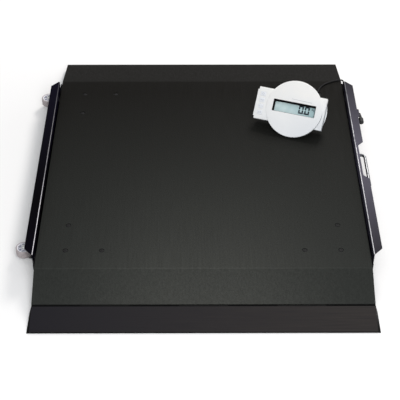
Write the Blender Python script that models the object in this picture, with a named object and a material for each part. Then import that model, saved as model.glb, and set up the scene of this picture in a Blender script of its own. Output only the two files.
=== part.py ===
"""Low platform scale for wheelchairs, with side rails, castors and a remote display.

Lengths are in metres. The model is laid out in the platform's own frame, with x to the
right, y to the rear and the floor at z = 0. One empty shifts it all, so that the middle
of the whole object's base is at the world's origin.
"""
import math

import bmesh
import bpy
from mathutils import Matrix, Vector

for old in list(bpy.data.objects):
    bpy.data.objects.remove(old, do_unlink=True)

# Overall sizes of the platform
mat_width = 0.820
flat_depth = 0.7634
platform_height = 0.056
front_slope_run = 0.087
front_slope_drop = 0.034
rear_slope_run = 0.138
rear_slope_drop = 0.036

# Gaps that are used all over
seat_gap = 0.0003
overrun = 0.004
rod_play = 0.0003

# Mat and top plate
mat_thickness = 0.0020
plate_thickness = 0.0030
fold_radius = 0.030
lip_radius = 0.0065
rear_lip = 0.011
screw_inset_x = 0.0706
screw_inset_y = 0.0608
screw_leg = 0.0895
mat_hole_radius = 0.0068
screw_hole_radius = 0.0036
screw_head_radius = 0.0056
screw_shank_radius = 0.0030
screw_head_recess = 0.0007

# Steel tubes under the plate
beam_width = 0.030
beam_height = 0.030
beam_wall = 0.0020
side_beam_inset = 0.006
beam_end_setback = 0.010
cross_beam_setback = 0.028

# Corner plates, load cells and levelling feet
corner_plate_margin = 0.016
corner_plate_thickness = 0.0040
corner_chamfer = 0.050
cell_length = 0.120
cell_width = 0.025
cell_height = 0.020
cell_seat_length = 0.038
cell_seat_height = 0.0020
cell_bore_radius = 0.0060
cell_bore_spacing = 0.020
cell_slit_height = 0.003
cell_y_inset = 0.082
stem_radius = 0.005
stem_from_cell_end = 0.014
stem_above_cell_share = 0.70
foot_pad_radius = 0.022
foot_pad_height = 0.005
foot_cup_height = 0.006
foot_cup_rim = 0.0015
foot_nut_radius = 0.0085
foot_nut_height = 0.005
foot_travel = 0.006

# Side rails
rail_gap = 0.0040
rail_thickness = 0.0025
rail_rise = 0.020
rail_length = 0.709
rail_bend_radius = 0.003
flange_width = 0.0205
flange_wide = 0.0250
wide_start_y = 0.1900
wide_end_y = 0.2197
wide_step_chamfer = 0.002
notch_margin = 0.0103
notch_mitre = 0.0145
notch_flange = 0.0058
rail_lip_width = 0.0375
rail_end_relief = 0.020
rail_end_height = 0.040

# Bow handle
handle_rod = 0.008
handle_half_length = 0.0665
handle_reach = 0.0275
handle_drop = 0.040
handle_bend = 0.010
handle_tail = 0.005

# Transport castors
castor_out = 0.031
castor_front_y = -0.289
castor_rear_y = 0.331
castor_drop = 0.040
tyre_radius = 0.0205
tyre_width = 0.021
tyre_thickness = 0.0035
wheel_rim = 0.0025
wheel_hub_radius = 0.0075
wheel_web = 0.012
castor_axle_radius = 0.004
axle_head_radius = 0.0065
axle_head_height = 0.003
axle_nut_height = 0.005
bracket_thickness = 0.003
bracket_half_width = 0.022
bracket_nose_radius = 0.0115

# Front ramp and its piano hinge
hinge_gap = 0.005
hinge_sink = 0.0025
knuckle_radius = 0.0021
hinge_pin_radius = 0.0010
hinge_leaf = 0.0015
hinge_leaf_width = 0.030
knuckle_count = 7
ramp_run = 0.0690
ramp_drop = 0.0180
ramp_plate = 0.0030
ramp_nose = 0.0100
ramp_nose_radius = 0.0012
ramp_skirt = 0.0025
ramp_flare = 0.0060
ramp_rib = 0.0030
ramp_rib_count = 5

# Junction box
box_length = 0.096
box_width = 0.064
box_height = 0.024
box_wall = 0.0022
box_corner = 0.0050
box_lid = 0.0025
box_inset_x = 0.052
box_y = 0.068
board_thickness = 0.0016
board_edge = 0.0015

# Socket and plug of the display cable
socket_y = 0.2110
socket_z = 0.040
socket_radius = 0.0060
socket_collar_radius = 0.0090
socket_collar = 0.0030
socket_depth = 0.022
plug_pin_radius = 0.0030
plug_pin_length = 0.012
plug_neck_radius = 0.0052
plug_body_radius = 0.0070
plug_body_length = 0.020
plug_reach = 0.035
relief_length = 0.0185
relief_root_radius = 0.0045
relief_tip_radius = 0.0028
round_share = 0.35

# Display pose on the mat
display_x = 0.2529
display_y = 0.1675
display_yaw = math.radians(18.2)
display_tilt = math.radians(45.5)

# Display casing
dial_radius = 0.0787
dial_plate = 0.0025
dial_rim_depth = 0.0080
dial_rim_wall = 0.0025
dial_edge = 0.0008
dial_back = 0.0020
band_left_reach = 0.0286
band_right_reach = 0.0065
band_half = 0.0450
band_step = 0.0030
band_step_half = 0.0375
band_corner = 0.0012
shell_wall = 0.0022
front_shell_depth = 0.0134
back_arc_reach = 0.0113
back_taper = 0.0036
display_depth = 0.0380
window_half_width = 0.0592
window_low = 0.0146
window_high = 0.0185
bezel_margin = 0.0017
bezel_depth = 0.0097
bezel_left = 0.0026
bezel_top = 0.0026
bezel_right = 0.0010
bezel_bottom = 0.0008
lcd_margin = 0.0023
lcd_thickness = 0.0027
key_dial_gap = 0.0073
key_width = 0.0150
key_height = 0.0120
key_pitch = 0.0176
key_proud = 0.0004
key_flange = 0.0012
key_flange_height = 0.0012
key_travel = 0.0010
key_gap = 0.0004

# Battery, its cover, and the fold-out stand
cell_diameter = 0.0142
battery_cells = 4
battery_length = 0.050
battery_end = 0.0085
battery_cover_margin = 0.0040
battery_cover_thickness = 0.0020
stand_axis_v = 0.030
stand_axis_out = 0.0055
stand_pin_radius = 0.0020
stand_half_width = 0.025
stand_thickness = 0.0030
stand_window_share = 0.56
ear_thickness = 0.0040
ear_rim = 0.0018

# Display cable, its gland, coil and tie
cable_diameter = 0.0042
gland_u = 0.045
gland_v = -0.012
gland_nut_radius = 0.0060
gland_nut_length = 0.0060
gland_length = 0.0180
gland_tip_radius = 0.0029
coil_x = 0.365
coil_y = 0.400
coil_inner_radius = 0.0130
coil_turns = 8.5
coil_pitch = 0.0048
coil_layer = 0.0048
coil_points_per_turn = 24
coil_floor_gap = 0.0012
end_run_share = 1.3
route_step_share = 2.2
tie_thickness = 0.0007
tie_width = 0.010
tie_play = 0.0004

# Places worked out from the sizes
half_width = mat_width / 2
fold_y = flat_depth / 2
front_edge_y = -fold_y - front_slope_run
front_edge_z = platform_height - front_slope_drop
rear_edge_y = fold_y + rear_slope_run
rear_edge_z = platform_height - rear_slope_drop
plate_top = platform_height - mat_thickness - seat_gap
plate_bottom = plate_top - plate_thickness
beam_top = plate_bottom - seat_gap
beam_bottom = beam_top - beam_height
wall_inner_x = half_width + rail_gap
wall_outer_x = wall_inner_x + rail_thickness
rail_top = platform_height + rail_rise
rail_bottom = beam_bottom - seat_gap - rail_thickness
hinge_y = front_edge_y - hinge_gap / 2
hinge_z = front_edge_z - hinge_sink
nose_y = hinge_y - ramp_run
castor_x = -(wall_outer_x + castor_out)
handle_x = wall_outer_x + handle_reach
band_left = dial_radius + band_left_reach
band_right = dial_radius + band_right_reach
back_arc_radius = dial_radius + back_arc_reach
key_u = dial_radius + key_dial_gap + key_width / 2
object_left = castor_x - tyre_radius
object_right = handle_x + handle_rod / 2
object_middle = Vector(((object_left + object_right) / 2, (nose_y + rear_edge_y) / 2, 0))


def empty(name, location, parent=None, rotation=(0, 0, 0)):
    """A plain axis that other objects hang on."""
    axis = bpy.data.objects.new(name, None)
    bpy.context.collection.objects.link(axis)
    axis.location = location
    axis.rotation_euler = rotation
    axis.parent = parent
    return axis


platform = empty("platform_frame", -object_middle)


def place(name, shape, origin=(0, 0, 0), parent=platform):
    """Turn a bmesh into an object whose own origin is at the given point."""
    bmesh.ops.translate(shape, verts=shape.verts, vec=-Vector(origin))
    bmesh.ops.recalc_face_normals(shape, faces=shape.faces)
    mesh = bpy.data.meshes.new(name)
    shape.to_mesh(mesh)
    shape.free()
    piece = bpy.data.objects.new(name, mesh)
    bpy.context.collection.objects.link(piece)
    piece.location = origin
    piece.parent = parent
    return piece


def finish(piece, hex_colour, roughness, metallic=0.0, sharp=math.radians(35)):
    """Give a piece a material of its own and smooth its round faces."""
    channels = [int(hex_colour[i:i + 2], 16) / 255 for i in (0, 2, 4)]
    linear = [c / 12.92 if c <= 0.04045 else ((c + 0.055) / 1.055) ** 2.4 for c in channels]
    material = bpy.data.materials.new(piece.name)
    material.use_nodes = True
    shader = material.node_tree.nodes["Principled BSDF"]
    shader.inputs["Base Color"].default_value = (*linear, 1)
    shader.inputs["Roughness"].default_value = roughness
    shader.inputs["Metallic"].default_value = metallic
    piece.data.materials.append(material)
    if piece.type == "MESH":
        piece.data.shade_smooth()
        piece.data.set_sharp_from_angle(angle=sharp)
    return piece


def combine(piece, shape, operation, origin=(0, 0, 0)):
    """Join a shape to a piece, or cut it away, with an exact Boolean."""
    label = "tool_for_" + piece.name + "_" + str(len(piece.modifiers))
    tool = place(label, shape, origin, piece.parent)
    tool.hide_render = True
    tool.display_type = "WIRE"
    boolean = piece.modifiers.new(label, "BOOLEAN")
    boolean.operation = operation
    boolean.solver = "EXACT"
    boolean.object = tool


def cut(piece, shape):
    """Cut a shape away from a piece."""
    combine(piece, shape, "DIFFERENCE")


def weld(piece, shape):
    """Join a shape to a piece, as one solid."""
    combine(piece, shape, "UNION")


def prism(outline, low, high, along, far_outline=None):
    """A flat outline carried along X, Y or Z, to a second outline if there is one."""
    shape = bmesh.new()
    rings = []
    for end, line in ((low, outline), (high, far_outline or outline)):
        spots = {
            "X": [(end, a, b) for a, b in line],
            "Y": [(a, end, b) for a, b in line],
            "Z": [(a, b, end) for a, b in line],
        }[along]
        rings.append([shape.verts.new(spot) for spot in spots])
    shape.faces.new(rings[0])
    shape.faces.new(reversed(rings[1]))
    for i in range(len(outline)):
        j = (i + 1) % len(outline)
        shape.faces.new((rings[0][i], rings[0][j], rings[1][j], rings[1][i]))
    return shape


def block(low, high):
    """A box between two corners."""
    outline = [(low[0], low[1]), (high[0], low[1]), (high[0], high[1]), (low[0], high[1])]
    return prism(outline, low[2], high[2], "Z")


def turned(profile, centre, along, steps):
    """A turned solid: closed (radius, height) pairs spun about an axis through centre."""
    shape = bmesh.new()
    rings = []
    for radius, height in profile:
        ring = []
        for k in range(steps if radius > 0 else 1):
            angle = 2 * math.pi * k / steps
            a = radius * math.cos(angle)
            b = radius * math.sin(angle)
            spot = {"X": (height, a, b), "Y": (a, height, b), "Z": (a, b, height)}[along]
            ring.append(shape.verts.new(Vector(centre) + Vector(spot)))
        rings.append(ring)
    for i, ring in enumerate(rings):
        other = rings[(i + 1) % len(rings)]
        if len(ring) == 1 and len(other) == 1:
            continue
        for k in range(steps):
            m = (k + 1) % steps
            corners = [ring[k % len(ring)], ring[m % len(ring)]]
            corners += [other[m % len(other)], other[k % len(other)]]
            shape.faces.new(dict.fromkeys(corners))
    return shape


def rod(radius, low, high, centre, along, steps=24):
    """A plain round bar between two heights along its axis."""
    return turned([(0, low), (radius, low), (radius, high), (0, high)], centre, along, steps)


def rounded(points, radius, steps, closed=True, only=None):
    """A flat line with an arc at its corners, or at those that are named."""
    result = []
    for i, spot in enumerate(points):
        here = Vector(spot)
        is_end = not closed and i in (0, len(points) - 1)
        if is_end or (only is not None and i not in only):
            result.append(tuple(spot))
            continue
        before = (Vector(points[i - 1]) - here).normalized()
        after = (Vector(points[(i + 1) % len(points)]) - here).normalized()
        half = before.angle(after) / 2
        centre = here + (before + after).normalized() * (radius / math.sin(half))
        start = here + before * (radius / math.tan(half)) - centre
        turn = start.angle_signed(here + after * (radius / math.tan(half)) - centre)
        for k in range(steps + 1):
            result.append(tuple(centre + Matrix.Rotation(-turn * k / steps, 2) @ start))
    return result


def shifted(line, distance, closed=False):
    """A flat line moved sideways: to the left of its own direction when positive."""
    result = []
    count = len(line)
    for i, spot in enumerate(line):
        sides = []
        if closed or i > 0:
            sides.append(Vector(spot) - Vector(line[i - 1]))
        if closed or i < count - 1:
            sides.append(Vector(line[(i + 1) % count]) - Vector(spot))
        normals = [Vector((-side.y, side.x)).normalized() for side in sides]
        middle = sum(normals, Vector((0, 0))).normalized()
        result.append(tuple(Vector(spot) + middle * (distance / middle.dot(normals[0]))))
    return result


def tray(outline, wall, floor, rim, base):
    """A shallow tray with an open rim: the outline runs anticlockwise."""
    inside = shifted(outline, wall, closed=True)
    inner_base = base + math.copysign(floor, rim - base)
    shape = bmesh.new()
    rings = []
    for line, level in ((outline, base), (outline, rim), (inside, rim), (inside, inner_base)):
        rings.append([shape.verts.new((a, b, level)) for a, b in line])
    for lower, upper in zip(rings, rings[1:]):
        for i in range(len(outline)):
            j = (i + 1) % len(outline)
            shape.faces.new((lower[i], lower[j], upper[j], upper[i]))
    shape.faces.new(reversed(rings[0]))
    shape.faces.new(rings[-1])
    return shape


# Mat and top plate
# One line along the top gives the flat area and both slopes.
top_line = [
    (front_edge_y, front_edge_z),
    (-fold_y, platform_height),
    (fold_y, platform_height),
    (rear_edge_y, rear_edge_z),
]
soft_line = rounded(top_line, fold_radius, 3, closed=False)
mat_outline = soft_line + shifted(soft_line, -mat_thickness)[::-1]
mat = place("mat", prism(mat_outline, -half_width, half_width, "X"))

cover_depth = mat_thickness + seat_gap
rear_slope = rear_slope_drop / rear_slope_run
lip_corner = (rear_edge_y + cover_depth, rear_edge_z - rear_slope * cover_depth)
lip_end = (lip_corner[0], rear_edge_z - rear_lip)
plate_line = rounded(top_line[:3] + [lip_corner, lip_end], fold_radius, 3, closed=False, only=(1, 2))
plate_line = rounded(plate_line, lip_radius, 3, closed=False, only=(len(plate_line) - 2,))
plate_outline = shifted(plate_line, -cover_depth)
plate_outline += shifted(plate_line, -cover_depth - plate_thickness)[::-1]
top_plate = place("top_plate", prism(plate_outline, -half_width, half_width, "X"))

screw_x = half_width - screw_inset_x
screw_y = fold_y - screw_inset_y
corners = {"front_left": (-1, -1), "front_right": (1, -1), "rear_left": (-1, 1), "rear_right": (1, 1)}


def corner_screws(side, end):
    """The three screws of one corner, set out as an L."""
    outer = (side * screw_x, end * screw_y)
    return (outer, (outer[0] - side * screw_leg, outer[1]), (outer[0], outer[1] - end * screw_leg))


for side, end in corners.values():
    for x, y in corner_screws(side, end):
        low = plate_bottom - overrun
        high = platform_height + overrun
        cut(mat, rod(mat_hole_radius, low, high, (x, y, 0), "Z", 16))
        cut(top_plate, rod(screw_hole_radius, low, high, (x, y, 0), "Z", 12))
finish(mat, "2B2D2B", 0.75)
finish(top_plate, "3A3B3D", 0.45, 0.6)

# Frame of rectangular tubes
# Two side beams run front to rear, with three cross beams between them.
side_beam_outer = half_width - side_beam_inset
side_beam_inner = side_beam_outer - beam_width
side_beam_half = fold_y - beam_end_setback


def tube_section(a_low, a_high):
    """Outer and inner rectangles of a beam's section."""
    outer = [(a_low, beam_bottom), (a_high, beam_bottom), (a_high, beam_top), (a_low, beam_top)]
    return outer, shifted(outer, beam_wall, closed=True)


for name, side in (("side_beam_left", -1), ("side_beam_right", 1)):
    low, high = sorted((side * side_beam_inner, side * side_beam_outer))
    outer, inner = tube_section(low, high)
    beam = place(name, prism(outer, -side_beam_half, side_beam_half, "Y"))
    cut(beam, prism(inner, -side_beam_half - overrun, side_beam_half + overrun, "Y"))
    if side > 0:
        reach = (side_beam_inner + beam_width / 2, side_beam_outer + overrun)
        cut(beam, rod(socket_radius + rod_play, *reach, (0, socket_y, socket_z), "X"))
    finish(beam, "3C3E40", 0.5, 0.7)

cross_beam_reach = side_beam_inner - seat_gap
cross_beam_y = fold_y - cross_beam_setback
for name, y in (("front", -cross_beam_y), ("middle", 0), ("rear", cross_beam_y)):
    outer, inner = tube_section(y - beam_width / 2, y + beam_width / 2)
    beam = place("cross_beam_" + name, prism(outer, -cross_beam_reach, cross_beam_reach, "X"))
    cut(beam, prism(inner, -cross_beam_reach - overrun, cross_beam_reach + overrun, "X"))
    finish(beam, "3C3E40", 0.5, 0.7)

# Corner plates, load cells and feet
# A corner plate hangs from its three screws, and carries one end of a load cell. The foot's
# threaded stem stands in the cell's other end.
corner_plate_top = plate_bottom - seat_gap
corner_plate_bottom = corner_plate_top - corner_plate_thickness
seat_bottom = corner_plate_bottom - cell_seat_height
cell_top = seat_bottom - seat_gap
cell_bottom = cell_top - cell_height
cell_y = fold_y - cell_y_inset
cell_outer_x = screw_x + corner_plate_margin
cell_inner_x = cell_outer_x - cell_length
foot_x = cell_outer_x - stem_from_cell_end
pad_top = foot_pad_height
cup_top = pad_top + seat_gap + foot_cup_height
stem_top = cell_bottom + stem_above_cell_share * cell_height

for name, (side, end) in corners.items():
    outer = (screw_x + corner_plate_margin, screw_y + corner_plate_margin)
    inner = (screw_x - screw_leg - corner_plate_margin, screw_y - screw_leg - corner_plate_margin)
    outline = [
        (side * outer[0], end * outer[1]),
        (side * inner[0], end * outer[1]),
        (side * inner[0], end * (inner[1] + corner_chamfer)),
        (side * (inner[0] + corner_chamfer), end * inner[1]),
        (side * outer[0], end * inner[1]),
    ]
    plate = place("corner_plate_" + name, prism(outline, corner_plate_bottom, corner_plate_top, "Z"))
    seat_low = (side * cell_inner_x, end * cell_y - cell_width / 2, seat_bottom)
    seat_high = (side * (cell_inner_x + cell_seat_length), end * cell_y + cell_width / 2,
                 corner_plate_top - corner_plate_thickness / 2)
    weld(plate, block(seat_low, seat_high))
    head_top = platform_height - screw_head_recess
    for x, y in corner_screws(side, end):
        profile = [
            (0, corner_plate_bottom + corner_plate_thickness / 2),
            (screw_shank_radius, corner_plate_bottom + corner_plate_thickness / 2),
            (screw_shank_radius, plate_top + seat_gap),
            (screw_head_radius, plate_top + seat_gap),
            (screw_head_radius, head_top),
            (0, head_top),
        ]
        weld(plate, turned(profile, (x, y, 0), "Z", 12))
    finish(plate, "55585A", 0.45, 0.8)

    cell_low = (min(side * cell_inner_x, side * cell_outer_x), end * cell_y - cell_width / 2, cell_bottom)
    cell_high = (max(side * cell_inner_x, side * cell_outer_x), end * cell_y + cell_width / 2, cell_top)
    cell = place("load_cell_" + name, block(cell_low, cell_high))
    middle = (side * (cell_inner_x + cell_outer_x) / 2, (cell_top + cell_bottom) / 2)
    bores = (cell_low[1] - overrun, cell_high[1] + overrun)
    for step in (-1, 1):
        centre = (middle[0] + step * cell_bore_spacing / 2, 0, middle[1])
        cut(cell, rod(cell_bore_radius, *bores, centre, "Y", 20))
    half = (cell_bore_spacing / 2, cell_slit_height / 2)
    slit_low = (middle[0] - half[0], bores[0], middle[1] - half[1])
    slit_high = (middle[0] + half[0], bores[1], middle[1] + half[1])
    cut(cell, block(slit_low, slit_high))
    stem_centre = (side * foot_x, end * cell_y, 0)
    stem_hole = (cell_bottom - overrun, cell_top + overrun)
    cut(cell, rod(stem_radius + rod_play, *stem_hole, stem_centre, "Z"))
    finish(cell, "B4B8BC", 0.35, 0.9)

    pad_profile = [
        (0, 0),
        (foot_pad_radius - foot_cup_rim, 0),
        (foot_pad_radius, foot_cup_rim),
        (foot_pad_radius, pad_top),
        (0, pad_top),
    ]
    pad = place("foot_pad_" + name, turned(pad_profile, stem_centre, "Z", 28), stem_centre)
    finish(pad, "1C1C1D", 0.85)
    cup_base = pad_top + seat_gap
    nut_top = cup_top + foot_nut_height
    foot_profile = [
        (0, cup_base),
        (foot_pad_radius, cup_base),
        (foot_pad_radius, cup_base + foot_cup_rim),
        (foot_nut_radius, cup_top),
        (foot_nut_radius, nut_top),
        (stem_radius, nut_top),
        (stem_radius, stem_top),
        (0, stem_top),
    ]
    foot = place("foot_" + name, turned(foot_profile, stem_centre, "Z", 28), stem_centre)
    finish(foot, "A8ABAE", 0.3, 1.0)

# Side rails
# A folded sheet: a lip under the side beam, a wall, and a flange that turns outwards. The
# right flange is notched at the handle, and is wider in front of the cable plug.
rail_half = rail_length / 2
lip_inner_x = wall_outer_x - rail_lip_width
flange_edge_x = wall_outer_x + flange_width
flange_wide_x = wall_outer_x + flange_wide
flange_cut_x = flange_wide_x + overrun
mitre_end_y = rail_half - flange_width
notch_half = handle_half_length + notch_margin
for name, side in (("rail_left", -1), ("rail_right", 1)):
    section = [
        (lip_inner_x, rail_bottom),
        (wall_outer_x, rail_bottom),
        (wall_outer_x, rail_top - rail_thickness),
        (flange_wide_x, rail_top - rail_thickness),
        (flange_wide_x, rail_top),
        (wall_inner_x, rail_top),
        (wall_inner_x, rail_bottom + rail_thickness),
        (lip_inner_x, rail_bottom + rail_thickness),
    ]
    section = rounded(section, rail_bend_radius, 4, only=(5,))
    rail = place(name, prism([(side * x, z) for x, z in section], -rail_half, rail_half, "Y"))
    edge = [(wall_outer_x, -rail_half - seat_gap), (flange_edge_x, -mitre_end_y)]
    if side > 0:
        notch_x = wall_outer_x + notch_flange
        edge += [
            (flange_edge_x, -notch_half),
            (notch_x, -notch_half + notch_mitre),
            (notch_x, notch_half - notch_mitre),
            (flange_edge_x, notch_half),
            (flange_edge_x, wide_start_y - wide_step_chamfer),
            (flange_wide_x + seat_gap, wide_start_y),
            (flange_wide_x + seat_gap, wide_end_y),
            (flange_edge_x, wide_end_y + wide_step_chamfer),
        ]
    edge += [(flange_edge_x, mitre_end_y), (wall_outer_x, rail_half + seat_gap)]
    waste = [(flange_cut_x, rail_half + overrun), (wall_outer_x, rail_half + overrun)]
    waste += edge[::-1]
    waste += [(wall_outer_x, -rail_half - overrun), (flange_cut_x, -rail_half - overrun)]
    waste_z = (rail_top - rail_thickness - overrun, rail_top + overrun)
    cut(rail, prism([(side * x, y) for x, y in waste], *waste_z, "Z"))
    for end in (-1, 1):
        relief_x = sorted((side * (lip_inner_x - overrun), side * (wall_outer_x + overrun)))
        relief_y = sorted((end * (rail_half - rail_end_relief), end * (rail_half + overrun)))
        cut(rail, block((relief_x[0], relief_y[0], rail_bottom - overrun),
                        (relief_x[1], relief_y[1], rail_end_height)))
    if side > 0:
        hole_reach = (wall_inner_x - overrun, wall_outer_x + overrun)
        cut(rail, rod(socket_radius + rod_play, *hole_reach, (0, socket_y, socket_z), "X"))
        for end in (-1, 1):
            hole = (0, end * handle_half_length, rail_top - handle_drop)
            cut(rail, rod(handle_rod / 2 + rod_play, *hole_reach, hole, "X"))
    finish(rail, "22232E" if side < 0 else "4C4B58", 0.4, 0.5)

# Bow handle
# A chrome rod with its ends through the right rail's wall.
handle_start_x = wall_inner_x - handle_tail
handle_path = rounded(
    [
        (handle_start_x, handle_half_length),
        (handle_x, handle_half_length),
        (handle_x, -handle_half_length),
        (handle_start_x, -handle_half_length),
    ],
    handle_bend, 6, closed=False)


def tube(name, points, diameter, resolution, parent=platform):
    """A round bar or cord along a list of points."""
    curve = bpy.data.curves.new(name, "CURVE")
    curve.dimensions = "3D"
    curve.bevel_depth = diameter / 2
    curve.bevel_resolution = resolution
    curve.use_fill_caps = True
    spline = curve.splines.new("POLY")
    spline.points.add(len(points) - 1)
    for knot, spot in zip(spline.points, points):
        knot.co = (*spot, 1)
    piece = bpy.data.objects.new(name, curve)
    bpy.context.collection.objects.link(piece)
    piece.parent = parent
    return piece


handle_z = rail_top - handle_drop
handle = tube("handle", [(x, y, handle_z) for x, y in handle_path], handle_rod, 3)
finish(handle, "D0D2D6", 0.12, 1.0)

# Transport castors
# The wheels lie flat beside the left rail, and roll when the platform is tipped up on it.
tyre_top = rail_top - castor_drop
tyre_base = tyre_top - tyre_width
wheel_radius = tyre_radius - tyre_thickness
arm_top = tyre_base - seat_gap * 2
arm_base = arm_top - bracket_thickness
for name, y in (("front", castor_front_y), ("rear", castor_rear_y)):
    centre = (castor_x, y, 0)
    tab_outer = -wall_outer_x - seat_gap - bracket_thickness
    tab = block((tab_outer, y - bracket_half_width, arm_base),
                (-wall_outer_x - seat_gap, y + bracket_half_width, tyre_top))
    bracket = place("castor_bracket_" + name, tab)
    arm = [(tab_outer + bracket_thickness / 2, y + bracket_half_width)]
    for k in range(9):
        angle = math.pi / 2 + math.pi * k / 8
        nose = Vector((math.cos(angle), math.sin(angle))) * bracket_nose_radius
        arm.append((castor_x + nose.x, y + nose.y))
    arm.append((tab_outer + bracket_thickness / 2, y - bracket_half_width))
    weld(bracket, prism(arm, arm_base, arm_top, "Z"))
    play = castor_axle_radius + rod_play
    cut(bracket, rod(play, arm_base - overrun, arm_top + overrun, centre, "Z"))
    finish(bracket, "8E9096", 0.35, 0.9)

    head_base = tyre_top + seat_gap
    nut_base = arm_base - seat_gap - axle_nut_height
    axle_profile = [
        (0, nut_base),
        (axle_head_radius, nut_base),
        (axle_head_radius, nut_base + axle_nut_height),
        (castor_axle_radius, nut_base + axle_nut_height),
        (castor_axle_radius, head_base),
        (axle_head_radius, head_base),
        (axle_head_radius, head_base + axle_head_height),
        (0, head_base + axle_head_height),
    ]
    axle = place("castor_axle_" + name, turned(axle_profile, centre, "Z", 24))
    finish(axle, "B9BBC0", 0.3, 1.0)

    web_low = (tyre_top + tyre_base - wheel_web) / 2
    web_high = (tyre_top + tyre_base + wheel_web) / 2
    rim_inner = wheel_radius - wheel_rim
    bore = castor_axle_radius + rod_play
    wheel_profile = [
        (bore, tyre_base),
        (wheel_hub_radius, tyre_base),
        (wheel_hub_radius, web_low),
        (rim_inner, web_low),
        (rim_inner, tyre_base),
        (wheel_radius, tyre_base),
        (wheel_radius, tyre_top),
        (rim_inner, tyre_top),
        (rim_inner, web_high),
        (wheel_hub_radius, web_high),
        (wheel_hub_radius, tyre_top),
        (bore, tyre_top),
    ]
    origin = (castor_x, y, (tyre_top + tyre_base) / 2)
    wheel = place("castor_wheel_" + name, turned(wheel_profile, centre, "Z", 32), origin)
    finish(wheel, "C9C9D4", 0.45)
    tyre_inner = wheel_radius + seat_gap
    tread = rounded(
        [
            (tyre_inner, tyre_base),
            (tyre_radius, tyre_base),
            (tyre_radius, tyre_top),
            (tyre_inner, tyre_top),
        ],
        foot_cup_rim, 2, only=(1, 2))
    tyre = place("castor_tyre_" + name, turned(tread, centre, "Z", 32), origin)
    finish(tyre, "85828A", 0.6)

# Front ramp
# A folded plate with a blunt nose, flared side skirts and ribs that stand on the floor. A
# piano hinge joins it to the platform.
ramp_rear_y = hinge_y - hinge_gap / 2
ramp_slope = ramp_drop / ramp_run
ramp_rear_z = hinge_z + hinge_sink - ramp_slope * hinge_gap
nose_z = ramp_rear_z - ramp_slope * (ramp_rear_y - nose_y)
ramp_floor = seat_gap
ramp_under_z = ramp_rear_z - ramp_plate
heel_y = nose_y + ramp_nose
heel_z = nose_z + ramp_slope * ramp_nose - ramp_plate
section = [
    (ramp_rear_y, ramp_rear_z),
    (nose_y, nose_z),
    (nose_y, ramp_floor),
    (heel_y - ramp_plate, ramp_floor),
    (heel_y, max(heel_z, ramp_floor + seat_gap)),
    (ramp_rear_y, ramp_under_z),
]
hinge_origin = (0, hinge_y, hinge_z)
section = rounded(section, ramp_nose_radius, 2, only=(1,))
flap = place("ramp_flap", prism(section, -half_width, half_width, "X"), hinge_origin)
rib_y = (nose_y + ramp_nose / 2, ramp_rear_y - ramp_plate)
for k in range(ramp_rib_count):
    x = (2 * k / (ramp_rib_count - 1) - 1) * (half_width - ramp_nose * 2)
    rib_top = [nose_z + ramp_slope * (y - nose_y) - ramp_plate / 2 for y in rib_y]
    rib = [(rib_y[0], ramp_floor + seat_gap), (rib_y[0], rib_top[0]), (rib_y[1], rib_top[1]),
           (rib_y[1], ramp_floor + seat_gap)]
    weld(flap, prism(rib, x - ramp_rib / 2, x + ramp_rib / 2, "X"))
for side in (-1, 1):
    skirt = bmesh.new()
    corners_of = []
    for y, top in ((ramp_rear_y, ramp_rear_z), (nose_y, nose_z)):
        top_edge = side * (half_width - ramp_skirt / 2)
        base_edge = side * (half_width + ramp_flare)
        inset = top - ramp_nose_radius
        corners_of.append([
            skirt.verts.new((top_edge, y, inset)),
            skirt.verts.new((side * half_width, y, inset)),
            skirt.verts.new((base_edge, y, ramp_floor)),
            skirt.verts.new((base_edge - side * ramp_skirt * 2, y, ramp_floor)),
        ])
    rear, front = corners_of
    skirt.faces.new(rear)
    skirt.faces.new(reversed(front))
    for i in range(4):
        j = (i + 1) % 4
        skirt.faces.new((rear[i], rear[j], front[j], front[i]))
    weld(flap, skirt)

knuckle_bore = hinge_pin_radius + rod_play
knuckle_length = mat_width / knuckle_count
front_slope = front_slope_drop / front_slope_run
leaf_drop = (cover_depth + plate_thickness + seat_gap) / math.cos(math.atan(front_slope))
leaf_top = front_edge_z - leaf_drop
web_y = (front_edge_y - seat_gap - hinge_leaf, front_edge_y - seat_gap)
leaf_y = (web_y[0], front_edge_y + hinge_leaf_width)
leaf_z = [leaf_top + front_slope * (y - front_edge_y) for y in leaf_y]
leaf_section = [
    (leaf_y[0], leaf_z[0] - hinge_leaf),
    (leaf_y[0], leaf_z[0]),
    (leaf_y[1], leaf_z[1]),
    (leaf_y[1], leaf_z[1] - hinge_leaf),
]
leaf = place("ramp_hinge", prism(leaf_section, -half_width, half_width, "X"))
for k in range(knuckle_count):
    low = -half_width + k * knuckle_length + seat_gap
    high = low + knuckle_length - 2 * seat_gap
    knuckle = rod(knuckle_radius, low, high, hinge_origin, "X", 16)
    if k % 2 == 0:
        weld(leaf, block((low, web_y[0], leaf_z[0] - hinge_leaf / 2), (high, web_y[1], hinge_z)))
        weld(leaf, knuckle)
    else:
        weld(flap, knuckle)
        tongue_low = (low, ramp_rear_y - ramp_plate / 2, hinge_z - knuckle_radius / 2)
        tongue_high = (high, hinge_y - knuckle_bore - seat_gap / 2, hinge_z + hinge_sink / 3)
        weld(flap, block(tongue_low, tongue_high))
bore_reach = (-half_width - overrun, half_width + overrun)
cut(leaf, rod(knuckle_bore, *bore_reach, hinge_origin, "X", 12))
cut(flap, rod(knuckle_bore, *bore_reach, hinge_origin, "X", 12))
finish(flap, "33323A", 0.35, 0.4)
finish(leaf, "707378", 0.4, 0.9)
pin = place("ramp_pin", rod(hinge_pin_radius, -half_width, half_width, hinge_origin, "X", 12))
finish(pin, "A0A3A8", 0.3, 1.0)

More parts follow.
